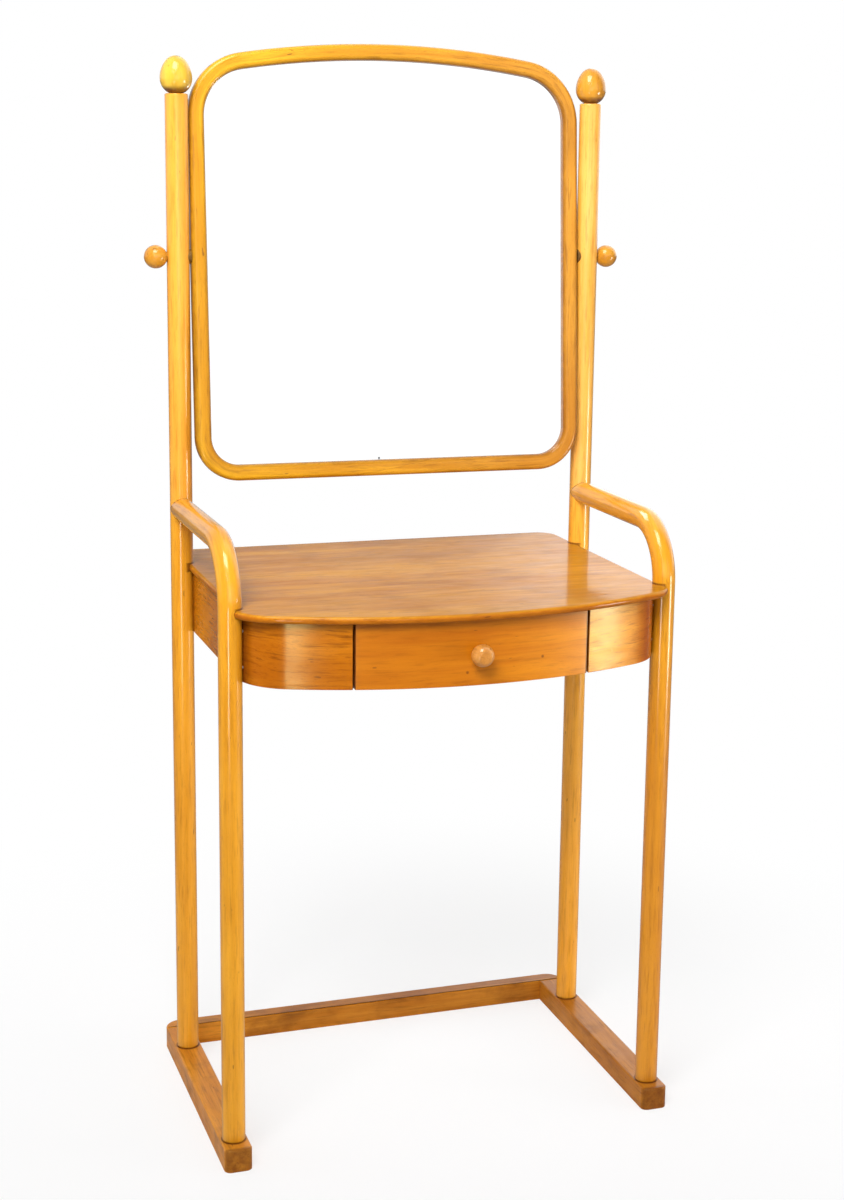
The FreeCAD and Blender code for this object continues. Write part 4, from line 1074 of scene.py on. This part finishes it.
def mirror_frame():
    """The bent frame, with a dark line at the glass, painted shade along its inner edge and painted shadow of
    the posts beside them. Its ends meet in a long slanted joint in the bottom rail.
    """
    stations = frame_stations()
    section = frame_section()
    vertices, faces, grain, grime = swept(stations, lambda ease: section, capped=False)
    count = len(section)
    last = len(stations) - 1
    for station, dark in ((0, SCARF_GRIME), (1, 0.0), (last - 1, 0.0), (last, SCARF_GRIME)):
        for index in range(station * count, (station + 1) * count):
            distance, depth, place = grain[index]
            slant = SCARF_FOOT + (SCARF_HEAD - SCARF_FOOT) * depth / FRAME_FACE
            vertices[index].x += slant
            grain[index] = (distance + slant, depth, place)
            grime[index] = dark
    lip = REBATE_LIP - FRAME_DEPTH / 2
    for index, (_, depth, place) in enumerate(grain):
        if depth > FRAME_FACE - ARRIS and abs(place - lip) < ARRIS:
            grime[index] = GLASS_EDGE_GRIME
        # Painted shade on the inner rounding; painted shadow of the posts on the outer rounding of the limbs
        inner = FRAME_INNER_SHADE * max(0.0, 1 - (FRAME_FACE - depth) / FRAME_ROUND)
        beside_post = abs(vertices[index].x) > MIRROR_HALF - FRAME_ROUND
        outer = FRAME_POST_SHADOW * max(0.0, 1 - depth / FRAME_ROUND) if beside_post else 0.0
        grime[index] = max(grime[index], inner, outer)
    shape = (leaned(vertices), faces, grain, grime)
    add_piece("mirror_rim", shape, "mirror_frame", frame_wood, "mirror", flat=True)


def pivot_ball(side):
    """A turned ball on a short neck."""
    hand = HANDS[side]
    low, high, _ = box_of(f"{hand}_pivot_ball")
    inner_end = low.x if side == RIGHT else high.x
    centre = BALL_NECK_LENGTH + sqrt(BALL_RADIUS ** 2 - BALL_NECK ** 2)
    start = -acos(BALL_NECK / BALL_RADIUS)
    profile = [(BALL_NECK, 0.0)] + arc((0, centre), BALL_RADIUS, start, TIP_END, 28)
    shape = turned(profile, Vector((inner_end, PIVOT.y, PIVOT.z)), side * X_AXIS)
    add_piece(f"ball_{hand}", shape, f"{hand}_pivot_ball", turned_wood, f"{hand}_pivot_knob")


mirror_frame()
for side in HANDS:
    pivot_ball(side)


# Materials of the CAD nodes that stay

def dress(material, *names):
    """Give CAD nodes a material."""
    for name in names:
        slots = frame["nodes"][name].data.materials
        slots.clear()
        slots.append(material)


dress(silver, "mirror_glass")
dress(plywood, "mirror_back_board")
dress(drawer_ply, "drawer_bottom")
dress(bare_wood_x, "rear_apron", "drawer_back", "rear_apron_dowels", "top_blocks")
dress(bare_wood_y, "drawer_left_side", "drawer_right_side", "drawer_stops", "base_dowels", "arm_screw_plugs")
for hand in HANDS.values():
    dress(bare_wood_y, f"{hand}_drawer_guide", f"{hand}_drawer_runner", f"{hand}_drawer_kicker")
    dress(brass, f"{hand}_pivot_insert", f"{hand}_pivot_washer")
    dress(steel, f"{hand}_pivot_screw")
dress(steel, "apron_screws", "arm_screws", "top_block_screws", "drawer_bottom_screws", "drawer_knob_screw",
      "mirror_back_brads")


# Floor, light and camera

def floor():
    """A pale studio floor that takes the object's shadow and fades into the white background further out.

    The mirror sees it as the camera does. Duller reflections see it dimmed."""
    half = 30.0
    pale = (0.95, 0.95, 0.96, 1)
    shade = (0.92, 0.92, 0.94, 1)
    dimmed = (0.40, 0.39, 0.38, 1)
    mesh = bpy.data.meshes.new("floor")
    corners = [(-half, -half, 0), (half, -half, 0), (half, half, 0), (-half, half, 0)]
    mesh.from_pydata(corners, [], [(0, 1, 2, 3)])
    shader = new_shader("studio_floor")
    path = shader.add("ShaderNodeLightPath", {}).outputs
    place = shader.place()
    base = shader.mix(shader.step(shader.noise(place, 0.8, 3.0), 0.3, 0.7), pale, shade)
    dull = shader.math("SUBTRACT", path["Is Glossy Ray"], path["Is Singular Ray"], clamp=True)
    base = shader.mix(dull, base, dimmed)
    material = shader.finish(Base_Color=base, Roughness=0.9, Specular_IOR_Level=0.1)
    distance = shader.add("ShaderNodeVectorMath", {0: place}, operation="LENGTH").outputs["Value"]
    seen = shader.largest(path["Is Camera Ray"], path["Is Transmission Ray"], path["Is Singular Ray"])
    share = shader.math("MULTIPLY", shader.step(distance, 0.25, 1.3, 0.68, 1.0), seen)
    white = shader.add("ShaderNodeEmission", {"Color": PLAIN, "Strength": 1.0})
    blend = shader.add("ShaderNodeMixShader", {0: share, 1: shader.surface.outputs[0], 2: white.outputs[0]})
    shader.feed(shader.tree.nodes["Material Output"].inputs["Surface"], blend.outputs[0])
    mesh.materials.append(material)
    ground = placed("floor", mesh)


def world():
    """White behind the object. Reflections show a dim room in front, with a white wall that the mirror faces.

    Behind, they show a grey wall that is brighter to the right. The mirror itself sees white all round."""
    mirror_faces = (0.295, -0.951, 0.086)
    wall_edge = cos(radians(32))
    wall_core = cos(radians(16))
    shader = Shader(bpy.data.worlds.new("studio"), "Background")
    path = shader.add("ShaderNodeLightPath", {}).outputs
    towards = shader.add("ShaderNodeTexCoord", {}).outputs["Generated"]
    across, along, above = shader.parts(towards)
    bearing = shader.math("DIVIDE", across, shader.math("MAXIMUM", along, 0.2))
    behind = shader.step(bearing, 0.34, 0.42, 0.75, 1.9)
    facing = shader.add("ShaderNodeVectorMath", {0: towards, 1: mirror_faces}, operation="DOT_PRODUCT")
    wall = shader.step(facing.outputs["Value"], wall_edge, wall_core, 0.0, 1.1)
    room = shader.largest(shader.step(along, -0.35, 0.15, 0.22, behind), wall)
    reflected = shader.math("MULTIPLY", path["Is Glossy Ray"], room)
    fill = shader.math("MULTIPLY", path["Is Diffuse Ray"], shader.step(above, 0.0, 1.0, 0.12, 0.46))
    mirrored = shader.math("MULTIPLY", path["Is Singular Ray"], shader.step(above, 0.15, 0.9, 1.0, 0.8))
    level = shader.largest(path["Is Camera Ray"], path["Is Transmission Ray"], reflected, fill, mirrored)
    bpy.context.scene.world = shader.finish(Color=PLAIN, Strength=level)


def softbox(name, place, target, width, height, power, spread=180, diffuse=True, glossy=True):
    """A rectangular lamp that faces a point. A small spread, in degrees, keeps its light near that point.

    A lamp may light the object without showing in reflections, or show there without lighting it."""
    lamp = bpy.data.lights.new(name, "AREA")
    lamp.shape = "RECTANGLE"
    lamp.size = width
    lamp.size_y = height
    lamp.energy = power
    lamp.spread = radians(spread)
    stand = placed(name, lamp)
    stand.location = place
    stand.visible_camera = False
    stand.visible_diffuse = diffuse
    stand.visible_glossy = glossy
    stand.rotation_euler = (Vector(target) - Vector(place)).to_track_quat("-Z", "Y").to_euler()


def camera():
    """The photograph's viewpoint: place, direction and a small shift of the frame."""
    place = Vector((-0.8497, POST_Y - 2.7484, 1.3318))
    focal_px = 1995.87
    frame_px = 1200
    centre_px = Vector((32.05, -37.67))
    yaw = radians(-19.1491)
    pitch = radians(11.4124)
    roll = radians(0.8568)
    forward = Vector((-sin(yaw) * cos(pitch), cos(yaw) * cos(pitch), -sin(pitch)))
    right = Vector((cos(yaw), sin(yaw), 0))
    up = right.cross(forward)
    across = right * cos(roll) + up * sin(roll)
    upright = up * cos(roll) - right * sin(roll)
    lens = bpy.data.cameras.new("camera")
    lens.sensor_fit = "VERTICAL"
    lens.sensor_height = 36.0
    lens.lens = focal_px / frame_px * lens.sensor_height
    lens.shift_x = -centre_px.x / frame_px
    lens.shift_y = centre_px.y / frame_px
    view = placed("camera", lens)
    turn = Matrix((across, upright, -forward)).transposed().to_4x4()
    view.matrix_world = Matrix.Translation(place) @ turn
    bpy.context.scene.camera = view


floor()
world()
softbox("front_panel", (-0.7, -2.4, 1.4), (-0.1, 0, 1.2), 1.5, 1.2, 8.5)
softbox("left_strip", (-1.31, -2.11, 0.2), (-0.25, -0.2, 0.7), 0.26, 0.42, 5)
softbox("right_strip", (2.03, -1.41, 0.4), (0.18, -0.2, 0.6), 0.38, 0.7, 16)
softbox("key", (-1.0, -1.6, 2.5), (0.05, 0.15, 1.35), 1.3, 1.1, 24, spread=78, glossy=False)
softbox("ceiling", (-0.65, -0.9, 3.0), (-0.1, 0, 1.0), 1.1, 1.1, 36, diffuse=False)
softbox("left_fill", (-2.4, 0.5, 1.1), (0.1, 0, 0.9), 1.6, 1.4, 12, glossy=False)
softbox("right_fill", (2.0, -0.7, 0.3), (0.2, 0.0, 0.32), 0.9, 0.5, 2.2, spread=70, glossy=False)
softbox("back_fill", (0.0, 2.4, 1.5), (0, 0.2, 0.9), 2.0, 1.6, 10, glossy=False)
camera()
bpy.context.scene.view_settings.view_transform = "Standard"
